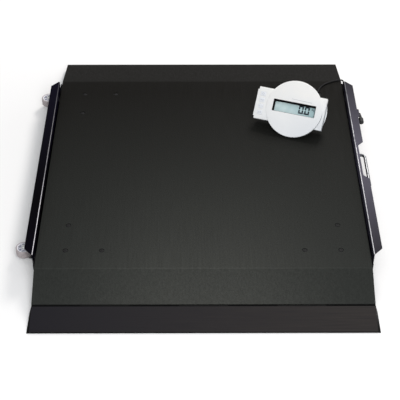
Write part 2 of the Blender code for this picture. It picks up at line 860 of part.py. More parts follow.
# Junction box
# It hangs under the plate, with its lid below, and adds up the four load cells.
box_right = half_width - box_inset_x
box_left = box_right - box_length
box_front = box_y - box_width / 2
box_rear = box_y + box_width / 2
box_top = plate_bottom - seat_gap
box_base = box_top - box_height
outline = [(box_left, box_front), (box_right, box_front), (box_right, box_rear), (box_left, box_rear)]
outline = rounded(outline, box_corner, 2)
junction_box = place("junction_box", tray(outline, box_wall, box_wall, box_base, box_top))
finish(junction_box, "5A5C5E", 0.6)
lid = place("junction_lid", prism(outline, box_base - seat_gap - box_lid, box_base - seat_gap, "Z"))
finish(lid, "55575A", 0.6)
board_margin = box_wall + board_edge
board_top = box_top - box_wall - seat_gap
board = block((box_left + board_margin, box_front + board_margin, board_top - board_thickness),
              (box_right - board_margin, box_rear - board_margin, board_top))
finish(place("junction_board", board), "2E6B3F", 0.5)

# Socket in the right rail
socket_out_x = wall_outer_x + seat_gap
socket_face_x = socket_out_x + socket_collar
socket_profile = [
    (plug_pin_radius + rod_play, socket_face_x - plug_pin_length - overrun),
    (0, socket_face_x - plug_pin_length - overrun),
    (0, socket_out_x - socket_depth),
    (socket_radius, socket_out_x - socket_depth),
    (socket_radius, socket_out_x),
    (socket_collar_radius, socket_out_x),
    (socket_collar_radius, socket_face_x),
    (plug_pin_radius + rod_play, socket_face_x),
]
socket_centre = (0, socket_y, socket_z)
socket = place("cable_socket", turned(socket_profile, socket_centre, "X", 24))
finish(socket, "3A3A3C", 0.5)

# Elbow plug with its strain relief
plug_start_x = socket_face_x + seat_gap
plug_x = wall_outer_x + plug_reach
plug_profile = [
    (0, socket_face_x - plug_pin_length),
    (plug_pin_radius, socket_face_x - plug_pin_length),
    (plug_pin_radius, plug_start_x),
    (plug_neck_radius, plug_start_x),
    (plug_neck_radius, plug_x),
    (0, plug_x),
]
plug = place("cable_plug", turned(plug_profile, socket_centre, "X", 16))
plug_body_front = socket_y - plug_body_radius
plug_body_rear = plug_body_front + plug_body_length
relief_end_y = plug_body_rear + relief_length
body_profile = [
    (0, plug_body_front),
    (plug_body_radius * (1 - round_share), plug_body_front),
    (plug_body_radius, plug_body_front + plug_body_radius * round_share),
    (plug_body_radius, plug_body_rear - plug_body_radius * round_share),
    (plug_body_radius * (1 - round_share / 2), plug_body_rear),
    (relief_root_radius, plug_body_rear),
    (relief_tip_radius, relief_end_y),
    (0, relief_end_y),
]
weld(plug, turned(body_profile, (plug_x, 0, socket_z), "Y", 16))
finish(plug, "1D1D1F", 0.55)

# Display frame
# Its x runs along the band, its y up the face and its z out of the face. The rim of the
# dial stands on the mat.
display_rise = (seat_gap + dial_radius * math.sin(display_tilt)
                + dial_rim_depth * math.cos(display_tilt))
display_spot = (display_x, display_y, platform_height + display_rise)
display = empty("display_frame", display_spot, platform, (display_tilt, 0, -display_yaw))


def on_display(name, shape, origin=(0, 0, 0)):
    """Place a piece that is laid out in the display's frame."""
    return place(name, shape, origin, display)


# Dial cover
dial_profile = [
    (0, 0),
    (dial_radius - dial_edge, 0),
    (dial_radius, -dial_edge),
    (dial_radius, -dial_rim_depth),
    (dial_radius - dial_rim_wall, -dial_rim_depth),
    (dial_radius - dial_rim_wall, -dial_plate),
    (0, -dial_plate),
]
dial = on_display("dial_cover", turned(dial_profile, (0, 0, 0), "Z", 64))
band_face = -(dial_plate + 2 * seat_gap)
band_pass = band_half + seat_gap
cut(dial, block((-dial_radius - overrun, -band_pass, -dial_rim_depth - overrun),
                (dial_radius + overrun, band_pass, band_face + seat_gap)))
window_low_corner = (-window_half_width, -window_low)
window_high_corner = (window_half_width, window_high)
cut(dial, block((*window_low_corner, -dial_plate - overrun), (*window_high_corner, overrun)))
finish(dial, "E6E7EA", 0.35)

# Front shell of the band
band_outline = [
    (-band_left, -band_half),
    (band_right, -band_half),
    (band_right, band_half),
    (-band_left, band_half),
    (-band_left, band_step_half),
    (-band_left - band_step, band_step_half),
    (-band_left - band_step, -band_step_half),
    (-band_left, -band_step_half),
]
band_inside = shifted(band_outline, shell_wall, closed=True)
band_outline = rounded(band_outline, band_corner, 2, only=(0, 1, 2, 3))
front_rim = band_face - front_shell_depth
front_shell = on_display("display_front", prism(band_outline, front_rim, band_face, "Z"))
cut(front_shell, prism(band_inside, front_rim - overrun, band_face - shell_wall, "Z"))
wing_radius = dial_radius - dial_rim_wall - seat_gap
wing_start = math.asin((band_half - shell_wall / 2) / wing_radius)
for side in (-1, 1):
    wing = []
    for k in range(25):
        angle = wing_start + (math.pi - 2 * wing_start) * k / 24
        wing.append((wing_radius * math.cos(angle), side * wing_radius * math.sin(angle)))
    weld(front_shell, prism(wing, -dial_rim_depth, -dial_rim_depth + dial_back, "Z"))
face_cut = bezel_margin + seat_gap
cut(front_shell, block(
    (window_low_corner[0] - face_cut, window_low_corner[1] - face_cut, band_face - shell_wall - overrun),
    (window_high_corner[0] + face_cut, window_high_corner[1] + face_cut, band_face + overrun)))
key_names = ("key_power", "key_tare", "key_hold", "key_units")
key_centres = [(-key_u, key_pitch * (1.5 - k)) for k in range(len(key_names))]
for u, v in key_centres:
    half = (key_width / 2 + key_gap, key_height / 2 + key_gap)
    cut(front_shell, block((u - half[0], v - half[1], band_face - shell_wall - overrun),
                           (u + half[0], v + half[1], band_face + overrun)))
finish(front_shell, "E2E4E8", 0.38)

# Back shell with the stand's ears
back_rim = front_rim - seat_gap
back_face = -display_depth
arc_angle = math.acos(band_right / back_arc_radius)
back_outline = [(-band_left, -band_half), (band_right, -band_half)]
for k in range(9):
    angle = arc_angle * (k / 4 - 1)
    back_outline.append((back_arc_radius * math.cos(angle), back_arc_radius * math.sin(angle)))
back_outline += [(band_right, band_half), (-band_left, band_half)]
drawn_in = shifted(back_outline, back_taper, closed=True)
back_shell = on_display("display_back", prism(drawn_in, back_face, back_rim, "Z", back_outline))
back_inside = [
    (-band_left + shell_wall, -band_half + shell_wall),
    (band_right - shell_wall, -band_half + shell_wall),
    (band_right - shell_wall, band_half - shell_wall),
    (-band_left + shell_wall, band_half - shell_wall),
]
drawn_inside = shifted(back_inside, back_taper, closed=True)
cut(back_shell, prism(drawn_inside, back_face + shell_wall, back_rim, "Z", back_inside))
cut(back_shell, prism(back_inside, back_rim - seat_gap, back_rim + overrun, "Z"))
stand_axis_w = back_face - stand_axis_out
ear_radius = stand_pin_radius + rod_play + ear_rim
for side in (-1, 1):
    ear_low = side * (stand_half_width + seat_gap * 2)
    ear_high = ear_low + side * ear_thickness
    ear = [(stand_axis_v + ear_radius, back_face + shell_wall / 2)]
    for k in range(9):
        angle = -math.pi * k / 8
        ear.append((stand_axis_v + ear_radius * math.cos(angle),
                    stand_axis_w + ear_radius * math.sin(angle)))
    ear.append((stand_axis_v - ear_radius, back_face + shell_wall / 2))
    weld(back_shell, prism(ear, ear_low, ear_high, "X"))
ear_reach = stand_half_width + ear_thickness + overrun
stand_centre = (0, stand_axis_v, stand_axis_w)
cut(back_shell, rod(stand_pin_radius + rod_play, -ear_reach, ear_reach, stand_centre, "X", 16))
battery_start = -band_left + battery_end
battery_half = cell_diameter * battery_cells / 2
battery_hole = (battery_start + battery_cover_margin, battery_half - battery_cover_margin)
battery_hole_end = battery_start + battery_length - battery_cover_margin
cut(back_shell, block((battery_hole[0], -battery_hole[1], back_face - overrun),
                      (battery_hole_end, battery_hole[1], back_face + shell_wall + overrun)))
finish(back_shell, "DDDFE3", 0.42)

# Bezel, liquid-crystal panel and circuit board
bezel_face = band_face + seat_gap
bezel_base = bezel_face - bezel_depth
bezel = on_display("lcd_bezel", block(
    (window_low_corner[0] - bezel_margin, window_low_corner[1] - bezel_margin, bezel_base),
    (window_high_corner[0] + bezel_margin, window_high_corner[1] + bezel_margin, bezel_face)))
cut(bezel, block(
    (window_low_corner[0] + bezel_left, window_low_corner[1] + bezel_bottom, bezel_base - overrun),
    (window_high_corner[0] - bezel_right, window_high_corner[1] - bezel_top, bezel_face + overrun)))
finish(bezel, "101113", 0.5)
lcd_face = bezel_base - seat_gap
lcd_base = lcd_face - lcd_thickness
lcd = on_display("lcd_panel", block(
    (window_low_corner[0] - lcd_margin, window_low_corner[1] - lcd_margin, lcd_base),
    (window_high_corner[0] + lcd_margin, window_high_corner[1] + lcd_margin, lcd_face)))
finish(lcd, "A9C0C0", 0.15)
circuit_top = lcd_base - seat_gap
circuit_base = circuit_top - board_thickness
circuit_margin = shell_wall + seat_gap
circuit_board = on_display("display_board", block(
    (-band_left + circuit_margin, -band_half + circuit_margin, circuit_base),
    (band_right - circuit_margin, band_half - circuit_margin, circuit_top)))
finish(circuit_board, "2E6B3F", 0.5)

# Keys
# Each key stands through the face, and a flange under the face keeps it in.
key_top = band_face + key_proud
flange_top = band_face - shell_wall - seat_gap
levels = (
    (0, key_top),
    (0, flange_top),
    (key_flange, flange_top),
    (key_flange, flange_top - key_flange_height),
    (-key_flange, flange_top - key_flange_height),
    (-key_flange, circuit_top + key_travel + seat_gap),
)
for name, (u, v) in zip(key_names, key_centres):
    shape = bmesh.new()
    rings = []
    for grow, level in levels:
        a = key_width / 2 + grow
        b = key_height / 2 + grow
        spots = ((u - a, v - b), (u + a, v - b), (u + a, v + b), (u - a, v + b))
        rings.append([shape.verts.new((*spot, level)) for spot in spots])
    for upper, lower in zip(rings, rings[1:]):
        for i in range(4):
            j = (i + 1) % 4
            shape.faces.new((upper[i], upper[j], lower[j], lower[i]))
    shape.faces.new(reversed(rings[0]))
    shape.faces.new(rings[-1])
    finish(on_display(name, shape, (u, v, key_top)), "D8DCE6", 0.45)

# Battery pack and its cover
battery_w = back_face + shell_wall + seat_gap + cell_diameter / 2
pack = []
for upward in (1, -1):
    for k in range(battery_cells):
        middle = upward * ((k + 1 / 2) * cell_diameter - battery_half)
        for m in range(1, 6):
            angle = math.pi * (1 - m / 6)
            v = middle + upward * math.cos(angle) * cell_diameter / 2
            pack.append((v, battery_w + upward * math.sin(angle) * cell_diameter / 2))
battery = on_display("battery_pack", prism(pack, battery_start, battery_start + battery_length, "X"))
finish(battery, "3B6FA8", 0.4)
cover_top = back_face - seat_gap
cover_origin = (battery_start + battery_length / 2, 0, cover_top)
cover = on_display("battery_cover", block(
    (battery_start - battery_cover_margin / 2, -battery_half, cover_top - battery_cover_thickness),
    (battery_start + battery_length + battery_cover_margin / 2, battery_half, cover_top)), cover_origin)
finish(cover, "D6D8DC", 0.45)

# Fold-out stand
# A flat leg with a window in it, which turns on its own pin in the ears of the back shell.
axis_height = (display_rise + stand_axis_v * math.sin(display_tilt)
               + stand_axis_w * math.cos(display_tilt))
leg_length = axis_height - seat_gap - stand_thickness / 2
down_angle = 3 * math.pi / 2 - display_tilt
leg_way = Vector((math.cos(down_angle), math.sin(down_angle)))
leg_side = Vector((-leg_way.y, leg_way.x)) * (stand_thickness / 2)
leg = []
for k in range(7):
    angle = math.pi * k / 6
    tip = Vector((math.sin(angle), math.cos(angle))) * (stand_thickness / 2)
    along = leg_length + tip.x
    leg.append(leg_way * along + leg_side.normalized() * tip.y)
leg = [leg_side, *leg, -leg_side]
leg = [(stand_axis_v + spot.x, stand_axis_w + spot.y) for spot in leg]
stand = on_display("display_stand", prism(leg, -stand_half_width, stand_half_width, "X"), stand_centre)
pin_reach = stand_half_width + seat_gap * 2 + ear_thickness
weld(stand, rod(stand_pin_radius, -pin_reach, pin_reach, stand_centre, "X", 16))
gap_start = leg_way * (leg_length * (1 - stand_window_share) / 2)
gap_end = leg_way * (leg_length * (1 + stand_window_share) / 2)
gap_side = leg_side * 3
gap = [gap_start - gap_side, gap_end - gap_side, gap_end + gap_side, gap_start + gap_side]
gap = [(stand_axis_v + spot.x, stand_axis_w + spot.y) for spot in gap]
gap_half = stand_half_width * stand_window_share
cut(stand, prism(gap, -gap_half, gap_half, "X"))
finish(stand, "D2D4D8", 0.45)

# Cable gland on the back of the display
gland_face = back_face - seat_gap
gland_profile = [
    (0, gland_face),
    (gland_nut_radius, gland_face),
    (gland_nut_radius, gland_face - gland_nut_length),
    (gland_nut_radius * (1 - round_share), gland_face - gland_nut_length),
    (gland_tip_radius, gland_face - gland_length),
    (0, gland_face - gland_length),
]
gland = on_display("cable_gland", turned(gland_profile, (gland_u, gland_v, 0), "Z", 16))
finish(gland, "2A2A2C", 0.6)

# Display cable
# From the gland it lies on the mat, drops over the edge behind the right rail, and winds
# into a coil on the floor under the rear slope. From there it runs to the plug.
cable_radius = cable_diameter / 2
turn = Matrix.Rotation(-display_yaw, 4, "Z") @ Matrix.Rotation(display_tilt, 4, "X")
gland_tip = Vector(display_spot) + turn @ Vector((gland_u, gland_v, gland_face - gland_length))
gland_way = turn @ Vector((0, 0, -1))
on_mat = platform_height + seat_gap + cable_radius
on_floor = coil_floor_gap + cable_radius
coil_top = on_floor + coil_layer
coil_outer_radius = coil_inner_radius + coil_pitch * coil_turns / 2


def smooth_route(knots, spacing):
    """Even points on a smooth curve through the route's own points."""
    spots = [Vector(knot) for knot in knots]
    fine = []
    for i in range(len(spots) - 1):
        p1, p2 = spots[i], spots[i + 1]
        p0 = spots[i - 1] if i > 0 else p1 - (p2 - p1)
        p3 = spots[i + 2] if i + 2 < len(spots) else p2 + (p2 - p1)
        t1 = (p1 - p0).length ** 0.5
        t2 = t1 + (p2 - p1).length ** 0.5
        t3 = t2 + (p3 - p2).length ** 0.5
        for k in range(24):
            t = t1 + (t2 - t1) * k / 24
            a1 = p0.lerp(p1, t / t1)
            a2 = p1.lerp(p2, (t - t1) / (t2 - t1))
            a3 = p2.lerp(p3, (t - t2) / (t3 - t2))
            b1 = a1.lerp(a2, t / t2)
            b2 = a2.lerp(a3, (t - t1) / (t3 - t1))
            fine.append(b1.lerp(b2, (t - t1) / (t2 - t1)))
    fine.append(spots[-1])
    lengths = [0]
    for a, b in zip(fine, fine[1:]):
        lengths.append(lengths[-1] + (b - a).length)
    count = max(2, round(lengths[-1] / spacing))
    result = []
    j = 0
    for k in range(count + 1):
        goal = lengths[-1] * k / count
        while j < len(fine) - 2 and lengths[j + 1] < goal:
            j += 1
        part = (goal - lengths[j]) / (lengths[j + 1] - lengths[j])
        result.append(fine[j].lerp(fine[j + 1], part))
    return result, lengths[-1]


cable_spacing = cable_diameter * route_step_share
coil_front = (coil_x, coil_y - coil_outer_radius, on_floor)
coil_rear = (coil_x, coil_y + coil_outer_radius, coil_top)
end_run = cable_diameter * end_run_share
first_route = [
    gland_tip + gland_way * end_run,
    (0.3093, 0.1955, on_mat + 0.0022),
    (0.3125, 0.2060, on_mat),
    (0.3170, 0.2240, on_mat),
    (0.3225, 0.2500, on_mat),
    (0.3270, 0.2820, on_mat),
    (0.3345, 0.3200, on_mat),
    (0.3455, 0.3475, on_mat),
    (0.3590, 0.3640, on_mat),
    (0.3720, 0.3725, on_mat),
    (0.3880, 0.3805, on_mat),
    (0.4020, 0.3838, on_mat),
    (0.4095, 0.3843, on_mat + 0.0005),
    (0.4142, 0.3845, on_mat - 0.0012),
    (0.4170, 0.3843, on_mat - 0.0055),
    (0.4182, 0.3837, on_mat - 0.0125),
    (0.4182, 0.3820, on_mat - 0.0250),
    (0.4176, 0.3788, on_mat - 0.0380),
    (0.4160, 0.3742, on_mat - 0.0478),
    (0.4120, 0.3690, on_floor + 0.0016),
    (0.4020, 0.3668, on_floor),
    (0.3880, coil_front[1], on_floor),
    (coil_x + cable_diameter + end_run, coil_front[1], on_floor),
]
first_points, first_length = smooth_route(first_route, cable_spacing)
first_points.insert(0, gland_tip + gland_way * seat_gap)
first_points.append(Vector((coil_x + cable_diameter + seat_gap, coil_front[1], on_floor)))
finish(tube("display_cable", first_points, cable_diameter, 2), "1B1B1D", 0.6)

# Coil of the surplus
# It winds inwards in the lower layer and outwards in the upper one, with straight ends.
coil_points = [Vector((coil_x + cable_diameter, coil_front[1], on_floor))]
half_turns = coil_turns / 2
coil_steps = round(coil_turns * coil_points_per_turn)
for k in range(coil_steps + 1):
    wound = coil_turns * k / coil_steps
    radius = coil_inner_radius + coil_pitch * abs(wound - half_turns)
    climb = min(1, max(0, (wound - half_turns) * 2 + 0.5))
    climb = climb * climb * (3 - 2 * climb)
    angle = -math.pi / 2 - 2 * math.pi * wound
    spot = Vector((coil_x + radius * math.cos(angle), coil_y + radius * math.sin(angle),
                   on_floor + coil_layer * climb))
    coil_points.append(spot)
coil_points.append(Vector((coil_x + cable_diameter, coil_rear[1], coil_top)))
coil_length = sum((b - a).length for a, b in zip(coil_points, coil_points[1:]))
coil_gap = min(
    (a - b).length - cable_diameter
    for i, a in enumerate(coil_points)
    for b in coil_points[i + coil_points_per_turn // 2:])
print("least gap of the coil to itself, mm:", round(coil_gap * 1000, 3))
finish(tube("cable_coil", coil_points, cable_diameter, 1), "1B1B1D", 0.6)

tail_route = [
    (coil_x + cable_diameter + end_run, coil_rear[1], coil_top),
    (0.3830, 0.4330, coil_top - 0.0014),
    (0.3930, 0.4328, on_floor + 0.0012),
    (0.4060, 0.4310, on_floor),
    (0.4180, 0.4258, on_floor),
    (0.4278, 0.4160, on_floor),
    (0.4325, 0.4020, on_floor),
    (0.4335, 0.3850, on_floor),
    (0.4335, 0.3600, on_floor),
    (0.4335, 0.3350, on_floor),
    (0.4350, 0.3130, on_floor),
    (0.4385, 0.2960, on_floor + 0.0040),
    (0.4430, 0.2820, on_floor + 0.0135),
    (0.4480, 0.2700, on_floor + 0.0250),
    (0.4510, 0.2545, socket_z - 0.0060),
    (plug_x, relief_end_y + end_run, socket_z),
]
tail_points, tail_length = smooth_route(tail_route, cable_spacing)
tail_points.insert(0, Vector((coil_x + cable_diameter + seat_gap, coil_rear[1], coil_top)))
tail_points.append(Vector((plug_x, relief_end_y + seat_gap, socket_z)))
finish(tube("cable_tail", tail_points, cable_diameter, 2), "1B1B1D", 0.6)
print("cable length, m:", round(first_length + coil_length + tail_length, 4))

# Tie round the coil
tie_in = math.sqrt((coil_inner_radius - cable_radius) ** 2 - (tie_width / 2) ** 2) - tie_play
tie_out = coil_outer_radius + cable_radius + tie_play
tie_low = on_floor - cable_radius - tie_play
tie_high = coil_top + cable_radius + tie_play
tie = place("cable_tie", block(
    (coil_x - tie_out - tie_thickness, coil_y - tie_width / 2, tie_low - tie_thickness),
    (coil_x - tie_in + tie_thickness, coil_y + tie_width / 2, tie_high + tie_thickness)))
cut(tie, block((coil_x - tie_out, coil_y - tie_width, tie_low),
               (coil_x - tie_in, coil_y + tie_width, tie_high)))
finish(tie, "202022", 0.8)
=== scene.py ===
import math

import bmesh
import bpy
from mathutils import Euler, Matrix, Vector


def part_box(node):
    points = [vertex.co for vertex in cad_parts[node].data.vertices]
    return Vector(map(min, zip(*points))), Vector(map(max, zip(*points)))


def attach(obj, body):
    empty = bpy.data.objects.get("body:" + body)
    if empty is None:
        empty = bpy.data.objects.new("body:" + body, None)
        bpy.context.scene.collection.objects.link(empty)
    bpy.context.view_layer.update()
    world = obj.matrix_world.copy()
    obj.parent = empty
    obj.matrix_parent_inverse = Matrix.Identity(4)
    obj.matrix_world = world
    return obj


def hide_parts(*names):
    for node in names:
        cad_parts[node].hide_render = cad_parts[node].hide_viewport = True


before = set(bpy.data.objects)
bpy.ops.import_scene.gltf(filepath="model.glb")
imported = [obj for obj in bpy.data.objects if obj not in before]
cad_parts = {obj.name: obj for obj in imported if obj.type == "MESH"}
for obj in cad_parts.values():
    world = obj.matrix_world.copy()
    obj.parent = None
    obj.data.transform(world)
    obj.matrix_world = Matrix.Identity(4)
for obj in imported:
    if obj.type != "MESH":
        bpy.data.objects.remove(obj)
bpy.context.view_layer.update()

# Camera
# The photograph looks down on the front of the scale from almost three metres away through
# a long lens, so the platform's sides draw together only a little towards the rear.
camera = bpy.data.objects.new("camera", bpy.data.cameras.new("camera"))
bpy.context.collection.objects.link(camera)
camera.location = (-0.005083, -2.180020, 1.920774)
camera.rotation_euler = (0.833453, -0.000571, -0.003250)
camera.data.lens = 96.4715
camera.data.sensor_width = 36
bpy.context.scene.camera = camera
bpy.context.scene.view_settings.view_transform = "Standard"

# Display lead
# A limp data lead, 4.2 mm thick and 1.85 m long, in a soft black PVC sheath. It leaves the
# gland behind the display, drops over the rear right corner, lies wound up on the floor
# under the rear slope, and comes back along the right rail to its elbow plug.
lead_diameter = 0.0042
lead_radius = lead_diameter / 2
# The sizes below start from the platform's own middle, and row_shift is where that lies.
row_shift = Vector((0.010, 0.01025, 0))
platform_place = Matrix.Translation(row_shift)
display_place = Matrix.LocRotScale(
    Vector((0.2629, 0.17775, 0.11804)), Euler((math.radians(45.5), 0, math.radians(-18.2))), None)
hair_gap = 0.0003
gland_centre = (0.045, -0.012)
gland_end = -0.0563
lead_exit = display_place @ Vector((*gland_centre, gland_end - hair_gap)) - row_shift
lead_way = (display_place.to_3x3() @ Vector((0, 0, -1))).normalized()
mat_top = 0.056
floor_gap = 0.0012
on_mat = mat_top + hair_gap + lead_radius
on_floor = floor_gap + lead_radius
coil_x = 0.365
coil_y = 0.400
coil_turns = 8.5
coil_pitch = 0.0048
coil_inner = 0.0130
coil_outer = coil_inner + coil_pitch * coil_turns / 2
coil_top = on_floor + coil_pitch
coil_exit_x = coil_x + lead_diameter
end_run = lead_diameter * 1.3
socket_z = 0.040
plug_x = 0.4515
relief_end_y = 0.2425


def through(knots):
    """Close points on a smooth curve through a route's own points."""
    spots = [Vector(knot) for knot in knots]
    line = []
    for i in range(len(spots) - 1):
        p1, p2 = spots[i], spots[i + 1]
        p0 = spots[i - 1] if i > 0 else p1 - (p2 - p1)
        p3 = spots[i + 2] if i + 2 < len(spots) else p2 + (p2 - p1)
        t1 = (p1 - p0).length ** 0.5
        t2 = t1 + (p2 - p1).length ** 0.5
        t3 = t2 + (p3 - p2).length ** 0.5
        steps = max(2, round((p2 - p1).length / lead_radius))
        for k in range(steps):
            t = t1 + (t2 - t1) * k / steps
            a1 = p0.lerp(p1, t / t1)
            a2 = p1.lerp(p2, (t - t1) / (t2 - t1))
            a3 = p2.lerp(p3, (t - t2) / (t3 - t2))
            b1 = a1.lerp(a2, t / t2)
            b2 = a2.lerp(a3, (t - t1) / (t3 - t1))
            line.append(b1.lerp(b2, (t - t1) / (t2 - t1)))
    return line + [spots[-1]]


lead_line = [lead_exit] + through([
    lead_exit - lead_way * hair_gap + lead_way * end_run,
    (0.3093, 0.1955, on_mat + 0.0022),
    (0.3125, 0.2060, on_mat),
    (0.3170, 0.2240, on_mat),
    (0.3225, 0.2500, on_mat),
    (0.3270, 0.2820, on_mat),
    (0.3345, 0.3200, on_mat),
    (0.3455, 0.3475, on_mat),
    (0.3590, 0.3640, on_mat),
    (0.3720, 0.3725, on_mat),
    (0.3880, 0.3805, on_mat),
    (0.4020, 0.3838, on_mat),
    (0.4095, 0.3843, on_mat + 0.0005),
    (0.4142, 0.3845, on_mat - 0.0012),
    (0.4170, 0.3843, on_mat - 0.0055),
    (0.4182, 0.3837, on_mat - 0.0125),
    (0.4182, 0.3820, on_mat - 0.0250),
    (0.4176, 0.3788, on_mat - 0.0380),
    (0.4160, 0.3742, on_mat - 0.0478),
    (0.4120, 0.3690, on_floor + 0.0016),
    (0.4020, 0.3668, on_floor),
    (0.3880, coil_y - coil_outer, on_floor),
    (coil_exit_x + end_run, coil_y - coil_outer, on_floor),
])
coil_steps = round(coil_turns * 48)
for k in range(coil_steps + 1):
    wound = coil_turns * k / coil_steps
    around = coil_inner + coil_pitch * abs(wound - coil_turns / 2)
    climb = min(1, max(0, (wound - coil_turns / 2) * 2 + 0.5))
    height = on_floor + coil_pitch * climb * climb * (3 - 2 * climb)
    angle = -math.pi / 2 - 2 * math.pi * wound
    lead_line.append(Vector((
        coil_x + around * math.cos(angle), coil_y + around * math.sin(angle), height)))
lead_line += through([
    (coil_exit_x + end_run, coil_y + coil_outer, coil_top),
    (0.3830, 0.4330, coil_top - 0.0014),
    (0.3930, 0.4328, on_floor + 0.0012),
    (0.4060, 0.4310, on_floor),
    (0.4180, 0.4258, on_floor),
    (0.4278, 0.4160, on_floor),
    (0.4325, 0.4020, on_floor),
    (0.4335, 0.3850, on_floor),
    (0.4335, 0.3600, on_floor),
    (0.4335, 0.3350, on_floor),
    (0.4350, 0.3130, on_floor),
    (0.4385, 0.2960, on_floor + 0.0040),
    (0.4430, 0.2820, on_floor + 0.0135),
    (0.4480, 0.2700, on_floor + 0.0250),
    (0.4510, 0.2545, socket_z - 0.0060),
    (plug_x, relief_end_y + end_run, socket_z),
]) + [Vector((plug_x, relief_end_y + hair_gap, socket_z))]
lead_curve = bpy.data.curves.new("display_lead", "CURVE")
lead_curve.dimensions = "3D"
lead_curve.bevel_depth = lead_radius
lead_curve.bevel_resolution = 4
lead_curve.use_fill_caps = True
lead_spline = lead_curve.splines.new("POLY")
lead_spline.points.add(len(lead_line) - 1)
for knot, spot in zip(lead_spline.points, lead_line):
    knot.co = (*(spot + row_shift), 1)
lead = bpy.data.objects.new("display_lead", lead_curve)
bpy.context.collection.objects.link(lead)


def colour(code):
    """An sRGB hex value as linear red, green, blue and alpha."""
    channels = [int(code[i:i + 2], 16) / 255 for i in (0, 2, 4)]
    return (*[c / 12.92 if c <= 0.04045 else ((c + 0.055) / 1.055) ** 2.4 for c in channels], 1)


def add(tree, kind, sockets, **settings):
    """Add a node with its settings. A socket takes a value, a hex colour, or what links to it.

    Mix has its factor and two colours at 0, 6 and 7. MapRange has its value at 0, the range that
    it goes from at 1 and 2, and the one that it goes to at 3 and 4, which is 0 to 1 if not given.
    """
    made = tree.nodes.new("ShaderNode" + kind)
    for name, value in settings.items():
        setattr(made, name, value)
    for name, value in sockets.items():
        if isinstance(value, bpy.types.Node):
            value = next(output for output in value.outputs if output.enabled)
        if isinstance(value, bpy.types.NodeSocket):
            tree.links.new(value, made.inputs[name])
        else:
            made.inputs[name].default_value = colour(value) if isinstance(value, str) else value
    return made


def new_finish(name):
    """An empty material, the tree that its nodes go in, and each point's place in metres."""
    made = bpy.data.materials.new(name)
    made.use_nodes = True
    made.node_tree.nodes.clear()
    return made, made.node_tree, add(made.node_tree, "TexCoord", {}).outputs["Object"]


def surfaced(tree, tone, patches, roughness, relief=None, depth=0.0, strength=0.5, **shader):
    """Close a finish: its gloss follows uneven patches, and its relief has a pattern of its own."""
    gloss = add(tree, "MapRange", {0: patches, 1: 0.3, 2: 0.7, 3: roughness[0], 4: roughness[1]})
    sockets = {"Base Color": tone, "Roughness": gloss}
    if relief is not None:
        sockets["Normal"] = add(tree, "Bump", {"Height": relief, "Distance": depth, "Strength": strength})
    sockets.update({key.replace("_", " "): value for key, value in shader.items()})
    add(tree, "OutputMaterial", {"Surface": add(tree, "BsdfPrincipled", sockets)})


def mottled(name, tones, grain, roughness, depth, **shader):
    """A finish with two close tones, uneven gloss and a fine relief, all on one grain in metres."""
    made, tree, spot = new_finish(name)
    patches = add(tree, "TexNoise", {"Vector": spot, "Scale": 1 / (grain * 22), "Detail": 4.0})
    pores = add(tree, "TexNoise", {"Vector": spot, "Scale": 1 / grain, "Detail": 2.0, "Roughness": 0.6})
    tone = add(tree, "Mix", {0: patches, 6: tones[0], 7: tones[1]}, data_type="RGBA")
    surfaced(tree, tone, patches, roughness, pores, depth, 0.6, **shader)
    return made


# Soft PVC has a low wax-like shine, and takes a faint drag pattern from the extruder.
pvc_sheath = mottled("extruded_pvc_sheath", ("1C1C1E", "252526"), 0.0009, (0.55, 0.70), 0.00006,
                     Specular_IOR_Level=0.08)
lead_curve.materials.append(pvc_sheath)
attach(lead, "platform")
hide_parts("display_cable", "cable_coil", "cable_tail")

# Plug, gland and tie of the lead
# The elbow plug has a screwed and fluted ring and a moulded grip that tapers into a ribbed
# strain relief, all in black nylon. A hexagon gland clamps the other end, and a woven
# hook-and-loop strap holds the coil.


def skin(rings, hoop=False, into=None):
    """Walls between rings of points. A hoop joins its last ring to its first, others get end faces."""
    shape = into or bmesh.new()
    made = [[shape.verts.new(spot) for spot in ring] for ring in rings]
    followers = made[1:] + made[:1] if hoop else made[1:]
    for ring, other in zip(made, followers):
        for i in range(len(ring)):
            j = (i + 1) % len(ring)
            shape.faces.new((ring[i], ring[j], other[j], other[i]))
    if not hoop:
        shape.faces.new(made[0][::-1])
        shape.faces.new(made[-1])
    return shape


def turned(profile, centre, along="Z", steps=40, hoop=False, into=None):
    """A turned form: (radius, height) pairs spun about an axis through centre."""
    rings = []
    for radius, height in profile:
        ring = []
        for k in range(steps):
            a = radius * math.cos(2 * math.pi * k / steps)
            b = radius * math.sin(2 * math.pi * k / steps)
            spot = {"X": (height, a, b), "Y": (b, height, a), "Z": (a, b, height)}[along]
            ring.append(Vector(centre) + Vector(spot))
        rings.append(ring)
    return skin(rings, hoop, into)


sharp_edge = math.radians(34)


def piece(name, shape, finish, place=platform_place):
    """An object from a shape, smooth where its faces meet at less than a sharp edge's angle."""
    bmesh.ops.recalc_face_normals(shape, faces=shape.faces)
    mesh = bpy.data.meshes.new(name)
    shape.to_mesh(mesh)
    shape.free()
    mesh.transform(place)
    mesh.materials.append(finish)
    mesh.shade_smooth()
    mesh.set_sharp_from_angle(angle=sharp_edge)
    made = bpy.data.objects.new(name, mesh)
    bpy.context.collection.objects.link(made)
    return made


